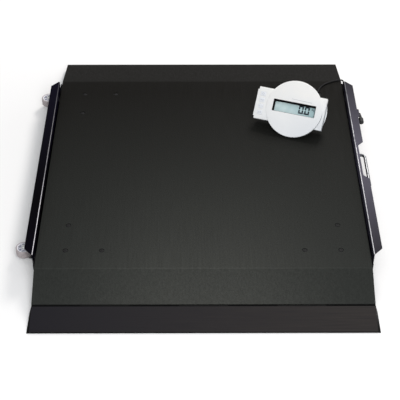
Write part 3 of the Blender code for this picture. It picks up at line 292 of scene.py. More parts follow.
def rounded(points, radius, steps=5, closed=True, only=None):
    """A flat line with an arc at its corners, or at those that are named."""
    line = []
    for i, spot in enumerate(points):
        here = Vector(spot)
        is_end = not closed and i in (0, len(points) - 1)
        if is_end or (only is not None and i not in only):
            line.append(tuple(spot))
            continue
        before = (Vector(points[i - 1]) - here).normalized()
        after = (Vector(points[(i + 1) % len(points)]) - here).normalized()
        half = before.angle(after) / 2
        centre = here + (before + after).normalized() * (radius / math.sin(half))
        start = here + before * (radius / math.tan(half)) - centre
        turn = start.angle_signed(here + after * (radius / math.tan(half)) - centre)
        for k in range(steps + 1):
            line.append(tuple(centre + Matrix.Rotation(-turn * k / steps, 2) @ start))
    return line


def fluted(count, outer, depth):
    """The outline of a round grip with shallow flutes."""
    line = []
    for k in range(count * 4):
        radius = outer - depth * (0.5 - 0.5 * math.cos(math.pi * k / 2))
        angle = math.pi * k / (count * 2)
        line.append((radius * math.cos(angle), radius * math.sin(angle)))
    return line


# Glass-filled nylon is dull, with a slight speckle.
moulded_nylon = mottled("moulded_nylon", ("141415", "1E1E20"), 0.0007, (0.45, 0.62), 0.00005,
                        Specular_IOR_Level=0.4)
socket_y = 0.2110
socket_face_x = 0.4198
ring_outline = fluted(18, 0.0052, 0.0005)
plug_shape = skin([[(x, socket_y + a, socket_z + b) for a, b in ring_outline]
                   for x in (socket_face_x + hair_gap, plug_x - 0.012)])
turned([(0.0029, socket_face_x - 0.012), (0.0030, socket_face_x - 0.0115),
        (0.0030, socket_face_x + 0.001)], (0, socket_y, socket_z), "X", 24, into=plug_shape)
turned([(0.0044, plug_x - 0.0125), (0.0044, plug_x - 0.0045), (0.0036, plug_x)],
       (0, socket_y, socket_z), "X", 32, into=plug_shape)
grip = [(0.0036, 0.2040), (0.0055, 0.2045), (0.0067, 0.2060), (0.0070, 0.2085)]
for k in range(5):
    groove_y = 0.2100 + k * 0.0022
    grip += [(0.0070, groove_y), (0.0066, groove_y + 0.0004), (0.0066, groove_y + 0.0010),
             (0.0070, groove_y + 0.0014)]
grip += [(0.0070, 0.2215), (0.0064, 0.2232), (0.0045, 0.2240)]
relief_ribs = 6
for k in range(relief_ribs):
    part = k / relief_ribs
    rib_y = 0.2240 + 0.0185 * part
    rib_radius = 0.0045 - 0.0017 * part
    grip += [(rib_radius, rib_y + 0.0002), (rib_radius, rib_y + 0.0016),
             (rib_radius - 0.0007, rib_y + 0.0019), (rib_radius - 0.0008, rib_y + 0.0028)]
grip += [(0.0026, relief_end_y)]
turned(grip, (plug_x, 0, socket_z), "Y", 32, into=plug_shape)
plug = piece("lead_plug", plug_shape, moulded_nylon)
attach(plug, "platform")
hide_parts("cable_plug")

gland_shape = turned([(0.0056, -0.0383), (0.0060, -0.0388), (0.0060, -0.0438), (0.0055, -0.0443)],
                     (*gland_centre, 0), "Z", 6)
tail = [(0.0046, -0.0440)]
for k in range(6):
    rib_w = -0.0444 - k * 0.0020
    rib_radius = 0.0045 - k * 0.00030
    tail += [(rib_radius, rib_w), (rib_radius, rib_w - 0.0010), (rib_radius - 0.0006, rib_w - 0.0013),
             (rib_radius - 0.0006, rib_w - 0.0018)]
tail += [(0.0024, gland_end)]
turned(tail, (*gland_centre, 0), "Z", 32, into=gland_shape)
gland = piece("lead_gland", gland_shape, moulded_nylon, display_place)
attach(gland, "platform")
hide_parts("cable_gland")

# Woven nylon tape is matt. A wave repeats about three times in its scale length, which makes
# the threads 0.4 mm apart.
woven_tape, tree, spot = new_finish("woven_nylon_tape")
across = add(tree, "TexWave", {"Vector": spot, "Scale": 1 / 0.0012}, bands_direction="Y")
cross = add(tree, "TexWave", {"Vector": spot, "Scale": 1 / 0.0012}, bands_direction="X")
weave = add(tree, "Math", {0: across.outputs["Fac"], 1: cross.outputs["Fac"]}, operation="MULTIPLY")
thread = add(tree, "Mix", {0: weave, 6: "121214", 7: "2A2A2E"}, data_type="RGBA")
bump = add(tree, "Bump", {"Height": weave, "Distance": 0.00015, "Strength": 0.8})
tape = add(tree, "BsdfPrincipled", {"Base Color": thread, "Roughness": 0.9, "Sheen Weight": 0.15,
                                    "Specular IOR Level": 0.2, "Normal": bump})
add(tree, "OutputMaterial", {"Surface": tape})
tie_width = 0.010
tie_gap = 0.0004
tie_thick = 0.0007
tie_bend = 0.0022
tie_in = math.sqrt((coil_inner - lead_radius) ** 2 - (tie_width / 2) ** 2) - tie_gap
tie_out = coil_outer + lead_radius + tie_gap
tie_low = on_floor - lead_radius - tie_gap
tie_high = coil_top + lead_radius + tie_gap
tie_loop = [(-tie_out, tie_low), (-tie_in, tie_low), (-tie_in, tie_high), (-tie_out, tie_high)]
tie_inner = rounded(tie_loop, tie_bend, 6)
tie_outer = rounded([(x + dx * tie_thick, z + dz * tie_thick) for (x, z), (dx, dz) in
                     zip(tie_loop, ((-1, -1), (1, -1), (1, 1), (-1, 1)))], tie_bend + tie_thick, 6)
tie_rings = []
for (xi, zi), (xo, zo) in zip(tie_inner, tie_outer):
    tie_rings.append([(coil_x + x, coil_y + y, z) for x, z, y in (
        (xi, zi, -tie_width / 2), (xo, zo, -tie_width / 2 + 0.0002),
        (xo, zo, tie_width / 2 - 0.0002), (xi, zi, tie_width / 2))])
tie = piece("lead_tie", skin(tie_rings, hoop=True), woven_tape)
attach(tie, "platform")
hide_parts("cable_tie")

# Floor and light
# The floor is a plain pale sheet. It shows white to the camera, and in mirrors and glass, and
# still takes the scale's own shadow: its lift makes up for the lamps' fall-off further out.
# Softboxes hang above it, in front, and behind on the right.


def seen_directly(tree):
    """1 where the camera, a mirror or glass looks at it, and 0 for the light that it sends out."""
    path = add(tree, "LightPath", {})
    seen = add(tree, "Math", {0: path.outputs["Is Camera Ray"], 1: path.outputs["Is Glossy Ray"]},
               operation="MAXIMUM")
    return add(tree, "Math", {0: seen, 1: path.outputs["Is Transmission Ray"]}, operation="MAXIMUM")


floor_shape = bmesh.new()
bmesh.ops.create_grid(floor_shape, x_segments=8, y_segments=8, size=9)
white_sheet, tree, spot = new_finish("matt_white_sheet")
distance = add(tree, "VectorMath", {0: spot}, operation="LENGTH")
level = add(tree, "MapRange", {0: distance, 1: 0.6, 2: 3.2, 3: 0.17, 4: 0.78})
lift = add(tree, "Math", {0: seen_directly(tree), 1: level}, operation="MULTIPLY")
sheet = add(tree, "BsdfPrincipled", {"Base Color": "E6E6E6", "Roughness": 0.95, "Specular IOR Level": 0.0,
                                     "Emission Color": "FFFFFF", "Emission Strength": lift})
add(tree, "OutputMaterial", {"Surface": sheet})
floor = piece("floor", floor_shape, white_sheet, Matrix.Translation((0, 0, -0.0002)))

world = bpy.data.worlds.new("studio")
bpy.context.scene.world = world
world.use_nodes = True
tree = world.node_tree
tree.nodes.clear()
dim = add(tree, "Background", {"Color": "F6F8FC", "Strength": 0.42})
white = add(tree, "Background", {"Color": "FFFFFF", "Strength": 1.0})
both = add(tree, "MixShader", {0: seen_directly(tree), 1: dim, 2: white})
add(tree, "OutputWorld", {"Surface": both})

for name, spot, size, power, tint in (
        ("overhead_softbox", (0.3, -0.5, 2.4), 1.7, 8, "FFFFFF"),
        ("front_softbox", (0.5, -2.5, 2.3), 1.6, 54, "FFFFFF"),
        ("rear_softbox", (0.9, 2.1, 2.1), 0.9, 46, "FFFAF4")):
    lamp = bpy.data.lights.new(name, "AREA")
    lamp.shape = "DISK"
    lamp.size = size
    lamp.energy = power
    lamp.color = colour(tint)[:3]
    softbox = bpy.data.objects.new(name, lamp)
    bpy.context.collection.objects.link(softbox)
    softbox.location = spot
    softbox.rotation_euler = (-Vector(spot)).to_track_quat("-Z", "Y").to_euler()

# Mat
# A sheet of black rubber, 2 mm thick, glued to the top plate and folded down over the front
# and rear slopes. Calendering gives it a fine pebble and faint lengthways drag. A painted sheen
# makes it paler and greyer towards the ramp, most along the middle, and a painted highlight
# runs along the front fold.


def eased(name, width, finish):
    """Give a CAD node its finish, and break its sharp edges as deburring and paint do."""
    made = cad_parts[name]
    made.material_slots[0].material = finish
    weld = made.modifiers.new("one_skin", "WELD")
    weld.merge_threshold = 0.000002
    edge = made.modifiers.new("broken_edges", "BEVEL")
    edge.width = width
    edge.segments = 2
    edge.limit_method = "ANGLE"
    edge.angle_limit = math.radians(40)
    edge.harden_normals = True


def away_from(tree, coordinate, level):
    """How far a coordinate lies from a level, to either side."""
    offset = add(tree, "Math", {0: coordinate, 1: level}, operation="SUBTRACT")
    return add(tree, "Math", {0: offset}, operation="ABSOLUTE")


# The pebble scatters what light there is, so rubber stays dull at any angle. It would be too
# fine to see at its own size of about 1 mm, and is drawn coarser.
pebble = 0.0024
streak = 0.0040
front_fold = -0.3817
calendered_rubber, tree, spot = new_finish("calendered_black_rubber")
place = add(tree, "SeparateXYZ", {"Vector": spot})
# Painted sheen: the rubber is paler towards the front, most of all along the middle lane.
front = add(tree, "MapRange", {0: place.outputs["Y"], 1: 0.34, 2: -0.48})
aside = away_from(tree, place.outputs["X"], row_shift.x)
lane = add(tree, "MapRange", {0: aside, 1: 0.05, 2: 0.40, 3: 1.0, 4: 0.0}, interpolation_type="SMOOTHSTEP")
nearer = add(tree, "Math", {0: front, 1: 3.0}, operation="POWER")
sheen_lane = add(tree, "Math", {0: lane, 1: nearer}, operation="MULTIPLY")
sheen_tone = add(tree, "Mix", {0: front, 6: "0D0C0A", 7: "2C2E2C"}, data_type="RGBA")
sheen_tone = add(tree, "Mix", {0: sheen_lane, 6: sheen_tone, 7: "3E3F3C"}, data_type="RGBA")
dust = add(tree, "TexNoise", {"Vector": spot, "Scale": 1 / (pebble * 1.8), "Detail": 3.0})
rolled = add(tree, "Mapping", {"Vector": spot, "Scale": (1 / streak, 1 / (streak * 25), 1 / streak)})
drag = add(tree, "TexNoise", {"Vector": rolled, "Scale": 1.0, "Detail": 3.0})
uneven = add(tree, "Math", {0: dust, 1: drag}, operation="ADD")
uneven = add(tree, "MapRange", {0: uneven, 1: 0.7, 2: 1.3, 3: 0.84, 4: 1.16})
# A painted highlight brightens the rubber along the front fold.
off_fold = away_from(tree, place.outputs["Y"], row_shift.y + front_fold)
fold_highlight = add(tree, "MapRange", {0: off_fold, 1: 0.0006, 2: 0.0028, 3: 1.25, 4: 1.0})
uneven = add(tree, "Math", {0: uneven, 1: fold_highlight}, operation="MULTIPLY")
tone = add(tree, "VectorMath", {0: sheen_tone, "Scale": uneven}, operation="SCALE")
grains = add(tree, "TexVoronoi", {"Vector": spot, "Scale": 1 / pebble}, feature="SMOOTH_F1")
surfaced(tree, tone, drag, (0.60, 0.70), grains, 0.00045, 0.9, Specular_IOR_Level=0.05)
eased("mat", 0.0004, calendered_rubber)

# Top plate and tube frame
# The plate is 3 mm sheet steel, folded to the same line as the mat. Under it are two side
# tubes and three cross tubes of 30 mm square steel, all with a satin black powder coat.

# Powder melts into a thick skin with a slight orange peel, which softens its shine.
powder_coat = mottled("satin_powder_coat", ("18191A", "242527"), 0.0013, (0.42, 0.55), 0.00007,
                      Specular_IOR_Level=0.4)
for name in ("top_plate", "side_beam_left", "side_beam_right",
             "cross_beam_front", "cross_beam_middle", "cross_beam_rear"):
    eased(name, 0.0005, powder_coat)

# Corner plates and their screws
# Each corner plate is black zinc-plated steel, held by three button-head screws that sit in
# round holes of the mat. The heads are blackened steel with a hexagon socket.
corners = {"front_left": (-1, -1), "front_right": (1, -1), "rear_left": (-1, 1), "rear_right": (1, 1)}
# Both black finishes are thin and dull, and keep the fine grain of the steel below.
black_oxide = mottled("black_oxide_steel", ("0C0C0D", "151516"), 0.0010, (0.6, 0.7), 0.00003,
                      Specular_IOR_Level=0.15)
black_zinc = mottled("black_zinc_plated_steel", ("0B0B0C", "161617"), 0.0018, (0.60, 0.7), 0.00003,
                     Specular_IOR_Level=0.08)


def quarter(steps):
    """How far in and how far up a rounded edge of 1 has come, at each step of its quarter turn."""
    turns = [math.pi / 2 * k / steps for k in range(1, steps + 1)]
    return [(1 - math.cos(turn), math.sin(turn)) for turn in turns]


screw_spread = (0.3394, 0.3209)
screw_leg = 0.0895
head_radius = 0.0058
head_flat = 0.0026
head_wall = 0.0006
plate_top = 0.0537
head_base = plate_top + hair_gap
head_top = 0.0558
for name, (side, end) in corners.items():
    eased("corner_plate_" + name, 0.0004, black_zinc)
    heads = bmesh.new()
    outer = (side * screw_spread[0], end * screw_spread[1])
    for x, y in (outer, (outer[0] - side * screw_leg, outer[1]), (outer[0], outer[1] - end * screw_leg)):
        dome = [(head_radius, head_base), (head_radius, head_base + head_wall)]
        dome += [(head_radius - (head_radius - head_flat) * inward,
                  head_base + head_wall + (head_top - head_base - head_wall) * upward)
                 for inward, upward in quarter(6)[:-1]]
        rings = [[(x + r * math.cos(math.pi * k / 18), y + r * math.sin(math.pi * k / 18), z)
                  for k in range(36)] for r, z in dome]
        for radius, z in ((0.0021, head_top), (0.0020, head_top - 0.0004)):
            ring = []
            for k in range(36):
                turn = math.pi * k / 18
                flat = math.cos(math.pi / 6) / math.cos((turn % (math.pi / 3)) - math.pi / 6)
                ring.append((x + radius * flat * math.cos(turn), y + radius * flat * math.sin(turn), z))
            rings.append(ring)
        skin(rings, into=heads)
    heads = piece("corner_screws_" + name, heads, black_oxide)
    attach(heads, "platform")

# Load cells and levelling feet
# A milled aluminium bar at each corner bends as it is loaded, and white sealant covers the
# gauges in its bore. A plated stem with a hexagon lock nut stands on a rubber pad.


def shifted(line, distance, closed=False):
    """A flat line moved sideways: to the left of its own direction when positive."""
    moved = []
    count = len(line)
    for i, spot in enumerate(line):
        sides = []
        if closed or i > 0:
            sides.append(Vector(spot) - Vector(line[i - 1]))
        if closed or i < count - 1:
            sides.append(Vector(line[(i + 1) % count]) - Vector(spot))
        normals = [Vector((-side.y, side.x)).normalized() for side in sides]
        middle = sum(normals, Vector((0, 0))).normalized()
        moved.append(tuple(Vector(spot) + middle * (distance / middle.dot(normals[0]))))
    return moved


def drafted(outline, steps, into=None):
    """A flat anticlockwise outline carried through (inset, height) pairs, and drawn in at each."""
    return skin([[(x, y, height) for x, y in shifted(outline, inset, closed=True)]
                 for inset, height in steps], into=into)


def slab(outline, low, high, edge, steps=3, into=None):
    """A flat anticlockwise outline given thickness, with its upper and lower edges rounded over."""
    curve = [(edge, 0)] + [(edge * (1 - upward), edge * inward) for inward, upward in quarter(steps)]
    return drafted(outline, [(inset, low + rise) for inset, rise in curve]
                   + [(inset, high - drop) for inset, drop in curve[::-1]], into)


def oblong(low, high, radius=0):
    """An upright rectangle, anticlockwise, with rounded corners where it has a radius."""
    line = [(low[0], low[1]), (high[0], low[1]), (high[0], high[1]), (low[0], high[1])]
    return rounded(line, radius) if radius else line


def boxed(low, high, edge):
    """A rectangular block with rounded upper and lower edges."""
    return slab(oblong(low, high), low[2], high[2], edge, 2)


def own_box(node):
    """A CAD node's lowest and highest corners, measured from the platform's own middle."""
    return [corner - row_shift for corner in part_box(node)]


# The cutter leaves fine lines along the bar, which draw its pale shine out sideways.
milled_aluminium, tree, spot = new_finish("milled_aluminium")
drawn = add(tree, "Mapping", {"Vector": spot, "Scale": (1 / 0.020, 1 / 0.0008, 1 / 0.0008)})
lines = add(tree, "TexNoise", {"Vector": drawn, "Scale": 1.0, "Detail": 3.0})
tone = add(tree, "Mix", {0: lines, 6: "A5A8AB", 7: "C8CACC"}, data_type="RGBA")
bump = add(tree, "Bump", {"Height": lines, "Distance": 0.00004, "Strength": 0.6})
milled = add(tree, "BsdfPrincipled", {"Base Color": tone, "Metallic": 1.0, "Roughness": 0.38, "Normal": bump})
add(tree, "OutputMaterial", {"Surface": milled})
# Zinc plate is silvery and slightly blotched, moulded rubber matt, and sealant uneven and waxy.
turned_steel = mottled("zinc_plated_thread", ("9FA2A5", "C2C3C1"), 0.0012, (0.25, 0.4), 0.00003,
                       Metallic=1.0)
foot_rubber = mottled("moulded_foot_rubber", ("121213", "1D1D1E"), 0.0010, (0.7, 0.85), 0.00008,
                      Specular_IOR_Level=0.3)
white_sealant = mottled("silicone_sealant", ("D9D8D2", "EDECE8"), 0.0025, (0.45, 0.6), 0.0002)
for name in corners:
    eased("load_cell_" + name, 0.0004, milled_aluminium)
    low, high = own_box("load_cell_" + name)
    middle = (low + high) / 2
    sealant = bmesh.new()
    for step in (-1, 1):
        for face in (-1, 1):
            turned([(0.0057, middle.y + face * 0.0075), (0.0057, middle.y + face * 0.0112),
                    (0.0045, middle.y + face * 0.0117), (0.0020, middle.y + face * 0.0119)],
                   (middle.x + step * 0.010, 0, middle.z), "Y", 28, into=sealant)
    sealant = piece("gauge_sealant_" + name, sealant, white_sealant)
    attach(sealant, "platform")

    low, high = own_box("foot_" + name)
    x, y = ((low + high) / 2).xy
    stem_top = high.z
    foot = turned([(0.0200, 0.0055), (0.0218, 0.0058), (0.0220, 0.0064), (0.0212, 0.0070), (0.0150, 0.0086),
                   (0.0092, 0.0104), (0.0080, 0.0111), (0.0060, 0.0113)], (x, y, 0), "Z", 48)
    turned([(0.0078, 0.0115), (0.0085, 0.0120), (0.0085, 0.0158), (0.0078, 0.0163)],
           (x, y, 0), "Z", 6, into=foot)
    thread = [(0.0046, 0.0110)]
    height = 0.0166
    while height < stem_top - 0.0014:
        thread += [(0.0050, height), (0.0044, height + 0.0006)]
        height += 0.0012
    thread += [(0.0048, stem_top - 0.0010), (0.0042, stem_top)]
    turned(thread, (x, y, 0), "Z", 32, into=foot)
    foot = piece("levelling_foot_" + name, foot, turned_steel)
    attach(foot, "foot_" + name + "_unit")
    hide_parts("foot_" + name)
    pad = turned([(0.0190, 0.0012), (0.0196, 0.0002), (0.0208, 0.0), (0.0216, 0.0004), (0.0220, 0.0012),
                  (0.0220, 0.0022), (0.0216, 0.0026), (0.0216, 0.0030), (0.0220, 0.0034), (0.0220, 0.0046),
                  (0.0216, 0.0050)], (x, y, 0), "Z", 48)
    pad = piece("foot_pad_rubber_" + name, pad, foot_rubber)
    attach(pad, "foot_" + name + "_unit")
    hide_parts("foot_pad_" + name)

# Side rails
# Each rail is 2.5 mm sheet folded twice, painted a smooth blue-black. The paint is rubbed bare
# along the top fold, where wheels and hands touch it, and that bright band is a painted
# highlight on the fold as well. A painted sheen grades each rail's tone from a middle place to
# its ends. An angle with a blackened screw closes each end between rail and platform.

# A dull coat keeps the end angles as dark as the gap that they close.
dull_coat = mottled("dull_black_coat", ("040405", "09090B"), 0.0013, (0.65, 0.8), 0.00005,
                    Specular_IOR_Level=0.03)
rail_fold = 0.4152
rail_top = 0.0755
# The paint is smooth with a slight peel. Where it has rubbed through along the fold, bright
# steel shows, and that bright band is also a painted highlight on the fold.
for name, side, centre, reach, tones, gloss, bare_and_highlight_tone, middle_wear_and_highlight, front_wear_and_highlight in (
        ("rail_left", -1, -0.15, 0.51, ("020103", "0A0816"), 0.015, "BAB8BE", 0.40, 0.85),
        ("rail_right", 1, 0.02, 0.37, ("504E5C", "17161F"), 0.035, "E6E6EA", 1.0, 0.80)):
    painted, tree, spot = new_finish("rubbed_rail_paint_with_painted_light_" + ("left" if side < 0 else "right"))
    place = add(tree, "SeparateXYZ", {"Vector": spot})
    off_fold = away_from(tree, place.outputs["X"], side * rail_fold + row_shift.x)
    off_top = away_from(tree, place.outputs["Z"], rail_top)
    far = add(tree, "Math", {0: off_fold, 1: off_top}, operation="ADD")
    # The bright band along the fold is worn paint and a painted highlight on the fold.
    bare_and_highlight = add(tree, "MapRange", {0: far, 1: 0.0019, 2: 0.0010})
    scuffs = add(tree, "TexNoise", {"Vector": spot, "Scale": 1 / 0.030, "Detail": 4.0, "Roughness": 0.55})
    rubbed = add(tree, "MapRange", {0: scuffs, 1: 0.25, 2: 0.45, 3: 0.35, 4: 1.0})
    rear_wear_and_highlight = add(tree, "MapRange", {0: place.outputs["Y"], 1: 0.10, 2: 0.34, 3: 1.0, 4: 0.25})
    end_wear_and_highlight = add(tree, "MapRange", {0: place.outputs["Y"], 1: -0.17, 2: -0.04,
                                      3: front_wear_and_highlight, 4: middle_wear_and_highlight})
    for wear_and_highlight in (rubbed, rear_wear_and_highlight, end_wear_and_highlight):
        bare_and_highlight = add(tree, "Math", {0: bare_and_highlight, 1: wear_and_highlight}, operation="MULTIPLY")
    # Painted sheen: the paint's tone goes from a middle place along the rail to its ends.
    along = away_from(tree, place.outputs["Y"], centre)
    painted_sheen = add(tree, "MapRange", {0: along, 1: 0.0, 2: reach})
    coat_with_sheen = add(tree, "Mix", {0: painted_sheen, 6: tones[0], 7: tones[1]}, data_type="RGBA")
    tone = add(tree, "Mix", {0: bare_and_highlight, 6: coat_with_sheen, 7: bare_and_highlight_tone}, data_type="RGBA")
    peel = add(tree, "TexNoise", {"Vector": spot, "Scale": 1 / 0.0035, "Detail": 1.0})
    surfaced(tree, tone, scuffs, (0.38, 0.43), peel, 0.00004, Metallic=bare_and_highlight, Specular_IOR_Level=gloss)
    eased(name, 0.0004, painted)
    for end in (-1, 1):
        label = name + ("_front" if end < 0 else "_rear")
        bracket_y = sorted((end * 0.3705, end * 0.3300))
        bracket_x = sorted((side * 0.4104, side * 0.4137))
        angle_piece = boxed((bracket_x[0], bracket_y[0], 0.0225),
                            (bracket_x[1], bracket_y[1], mat_top), 0.0006)
        angle_piece = piece(label + "_end_angle", angle_piece, dull_coat)
        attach(angle_piece, "platform")
        screw = turned([(0.0015, 0.0555), (0.0016, 0.0561), (0.0015, 0.0568), (0.0009, 0.0572)],
                       (side * 0.4120, end * 0.3465, 0), "Z", 24)
        screw = piece(label + "_end_screw", screw, black_oxide)
        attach(screw, "platform")

# Bow handle
# An 8 mm steel rod, bent to a bow and chrome plated, with a plated nut against the rail on
# each leg. Its flanks and legs are painted darker as a painted reflection, which leaves the
# top of the rod brighter.
handle_z = 0.0360
rod_x = 0.4440
rod_radius = 0.004
leg_start = 0.4095
leg_y = 0.0665
handle_path = rounded([(leg_start, leg_y), (rod_x, leg_y), (rod_x, -leg_y), (leg_start, -leg_y)],
                      0.010, 12, closed=False)
handle_rings = []
for i, (x, y) in enumerate(handle_path):
    before = Vector(handle_path[max(0, i - 1)])
    after = Vector(handle_path[min(len(handle_path) - 1, i + 1)])
    way = (after - before).normalized()
    side = Vector((-way.y, way.x)) * rod_radius
    handle_rings.append([
        (x + side.x * math.cos(a), y + side.y * math.cos(a), handle_z + rod_radius * math.sin(a))
        for a in (math.pi * k / 16 for k in range(32))])
# Chrome plate mirrors what is round it, until handling and weather turn it satin.
bright_chrome = mottled("bright_chrome_plate", ("989A9E", "A8AAAD"), 0.0015, (0.03, 0.07), 0.00001,
                        Metallic=1.0)
rod_chrome, tree, spot = new_finish("satin_chrome_plate")
place = add(tree, "SeparateXYZ", {"Vector": spot})
# Painted reflection: the flanks and legs are darker than the top of the rod.
off_rod = away_from(tree, place.outputs["X"], row_shift.x + rod_x)
flank_reflection = add(tree, "MapRange", {0: off_rod, 1: 0.0014, 2: 0.0026})
wiped = add(tree, "TexNoise", {"Vector": spot, "Scale": 1 / 0.030, "Detail": 4.0})
plate = add(tree, "Mix", {0: wiped, 6: "7A7C80", 7: "8A8C90"}, data_type="RGBA")
tone = add(tree, "Mix", {0: flank_reflection, 6: plate, 7: "46474B"}, data_type="RGBA")
surfaced(tree, tone, wiped, (0.36, 0.44), Metallic=1.0)
handle = piece("bow_handle", skin(handle_rings), rod_chrome)
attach(handle, "platform")
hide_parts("handle")
collars = bmesh.new()
for end in (-1, 1):
    turned([(0.0046, 0.41665), (0.0072, 0.41665), (0.0076, 0.4171), (0.0076, 0.4176), (0.0070, 0.4180),
            (0.0048, 0.4181)], (0, end * leg_y, handle_z), "X", 36, into=collars)
collars = piece("handle_collars", collars, bright_chrome)
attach(collars, "platform")

# Transport castors
# The left rail carries two wheels that lie flat, for rolling the folded platform on its
# side. Each is moulded pale nylon with six spokes and a grey rubber tread, and turns on a
# bolt in a plated steel bracket. The nylon is painted darker towards the wheel's middle
# plane, in the pockets between the spokes, as painted shade.
wheel_middle = sum(corner.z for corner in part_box("castor_tyre_front")) / 2
# Moulded nylon has a soft and slightly cloudy shine.
pale_nylon, tree, spot = new_finish("moulded_pale_nylon")
place = add(tree, "SeparateXYZ", {"Vector": spot})
# Painted shade: darker towards the wheel's middle plane, between the spokes.
off_middle = away_from(tree, place.outputs["Z"], wheel_middle)
unshaded = add(tree, "MapRange", {0: off_middle, 1: 0.0014, 2: 0.0085})
flow = add(tree, "TexNoise", {"Vector": spot, "Scale": 1 / 0.0260, "Detail": 4.0})
moulded = add(tree, "Mix", {0: flow, 6: "E4E4EC", 7: "F3F3F7"}, data_type="RGBA")
tone = add(tree, "Mix", {0: unshaded, 6: "9A9EB2", 7: moulded}, data_type="RGBA")
pores = add(tree, "TexNoise", {"Vector": spot, "Scale": 1 / 0.0012, "Detail": 2.0})
surfaced(tree, tone, flow, (0.38, 0.50), pores, 0.00004, 0.6)
# Plated sheet shines a blotchy grey, and the tread's rubber hardly at all.
zinc_plate = mottled("zinc_plated_steel", ("8F9296", "B3B4B2"), 0.0020, (0.30, 0.46), 0.00003, Metallic=1.0)
grey_tread = mottled("grey_tread_rubber", ("ABA3A5", "BCB3B3"), 0.0010, (0.6, 0.75), 0.00008,
                     Specular_IOR_Level=0.35)
for end in ("front", "rear"):
    body = "castor_" + end
    eased("castor_bracket_" + end, 0.0005, zinc_plate)
    low, high = own_box("castor_tyre_" + end)
    x, y, middle = (low + high) / 2
    base, top = low.z, high.z
    radius = (high.x - low.x) / 2
    rim_radius = radius - 0.0035
    shoulder = 0.0024
    tread = [(rim_radius + hair_gap, base + 0.0006), (radius - shoulder, base)]
    tread += [(radius - shoulder * (1 - upward), base + shoulder * inward)
              for inward, upward in quarter(8)[:-1]]
    tread += [(radius, base + 0.0030), (radius, base + 0.0070), (radius - 0.0005, base + 0.0073),
              (radius - 0.0005, base + 0.0082), (radius, base + 0.0085)]
    tread += [(r, 2 * middle - z) for r, z in tread[::-1]]
    tyre = piece("castor_tread_" + end, turned(tread, (x, y, 0), "Z", 64, hoop=True), grey_tread)
    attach(tyre, body)
    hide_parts("castor_tyre_" + end)
    rim = [(rim_radius - 0.0028, base + 0.0010), (rim_radius - 0.0022, base + 0.0003),
           (rim_radius, base + 0.0003), (rim_radius, top - 0.0003), (rim_radius - 0.0022, top - 0.0003),
           (rim_radius - 0.0028, top - 0.0010), (rim_radius - 0.0030, middle + 0.0014),
           (rim_radius - 0.0030, middle - 0.0014)]
    wheel = turned(rim, (x, y, 0), "Z", 64, hoop=True)
    hub = [(0.0043, base), (0.0070, base), (0.0075, base + 0.0005), (0.0078, middle), (0.0075, top - 0.0005),
           (0.0070, top), (0.0043, top)]
    turned(hub, (x, y, 0), "Z", 48, hoop=True, into=wheel)
    web = [(0.0074, middle - 0.0013), (rim_radius - 0.0026, middle - 0.0013),
           (rim_radius - 0.0026, middle + 0.0013), (0.0074, middle + 0.0013)]
    turned(web, (x, y, 0), "Z", 64, hoop=True, into=wheel)
    for k in range(6):
        way = Vector((math.cos(math.pi * k / 3), math.sin(math.pi * k / 3)))
        across = Vector((-way.y, way.x))
        inner, outer = way * 0.0070, way * (rim_radius - 0.0020)
        spoke = [inner - across * 0.0016, outer - across * 0.0012,
                 outer + across * 0.0012, inner + across * 0.0016]
        slab([(x + p.x, y + p.y) for p in spoke], base + 0.0022, top - 0.0022, 0.0006, 2, wheel)
    wheel = piece("castor_spoked_wheel_" + end, wheel, pale_nylon)
    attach(wheel, body)
    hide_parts("castor_wheel_" + end)
    low, high = own_box("castor_axle_" + end)
    bolt = turned([(0.0038, low.z + 0.0004), (0.0040, low.z + 0.0008), (0.0040, high.z - 0.0030)],
                  (x, y, 0), "Z", 36)
    turned([(0.0058, low.z), (0.0065, low.z + 0.0005), (0.0065, low.z + 0.0045), (0.0060, low.z + 0.0050)],
           (x, y, 0), "Z", 6, into=bolt)
    turned([(0.0065, top + hair_gap), (0.0065, top + 0.0008), (0.0062, top + 0.0018), (0.0052, top + 0.0028),
            (0.0036, top + 0.0033), (0.0024, top + 0.0033), (0.0022, top + 0.0020)],
           (x, y, 0), "Z", 36, into=bolt)
    bolt = piece("castor_bolt_" + end, bolt, turned_steel)
    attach(bolt, "platform")
    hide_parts("castor_axle_" + end)

# Front ramp and hinge
# The ramp is 3 mm plate with flared sides and ribs under it, in a smooth semi-gloss black
# that is rubbed along its length. Its nose, flared sides and knuckles are painted near-black
# as painted shade.
# It swings on a piano hinge of dull black steel under the platform's front edge.
nose_y = -0.5290
knuckle_y = -0.4642
skirt_x = 0.4090
# Rubbing has left long streaks in the paint. A painted reflection makes it cooler and darker
# at the left end and warmer and paler at the right.
semi_gloss, tree, spot = new_finish("semi_gloss_ramp_paint")
place = add(tree, "SeparateXYZ", {"Vector": spot})
along = add(tree, "MapRange", {0: place.outputs["X"], 1: -0.40, 2: 0.42})
rub = add(tree, "Mapping", {"Vector": spot, "Scale": (1 / 0.09, 1 / 0.002, 1 / 0.002)})
streaks = add(tree, "TexNoise", {"Vector": rub, "Scale": 1.0, "Detail": 4.0})
# Painted reflection along the ramp's length.
painted_light_tone = add(tree, "Mix", {0: along, 6: "18171D", 7: "36322F"}, data_type="RGBA")
tone = add(tree, "Mix", {0: streaks, 6: painted_light_tone, 7: "1D1C1F"}, data_type="RGBA")
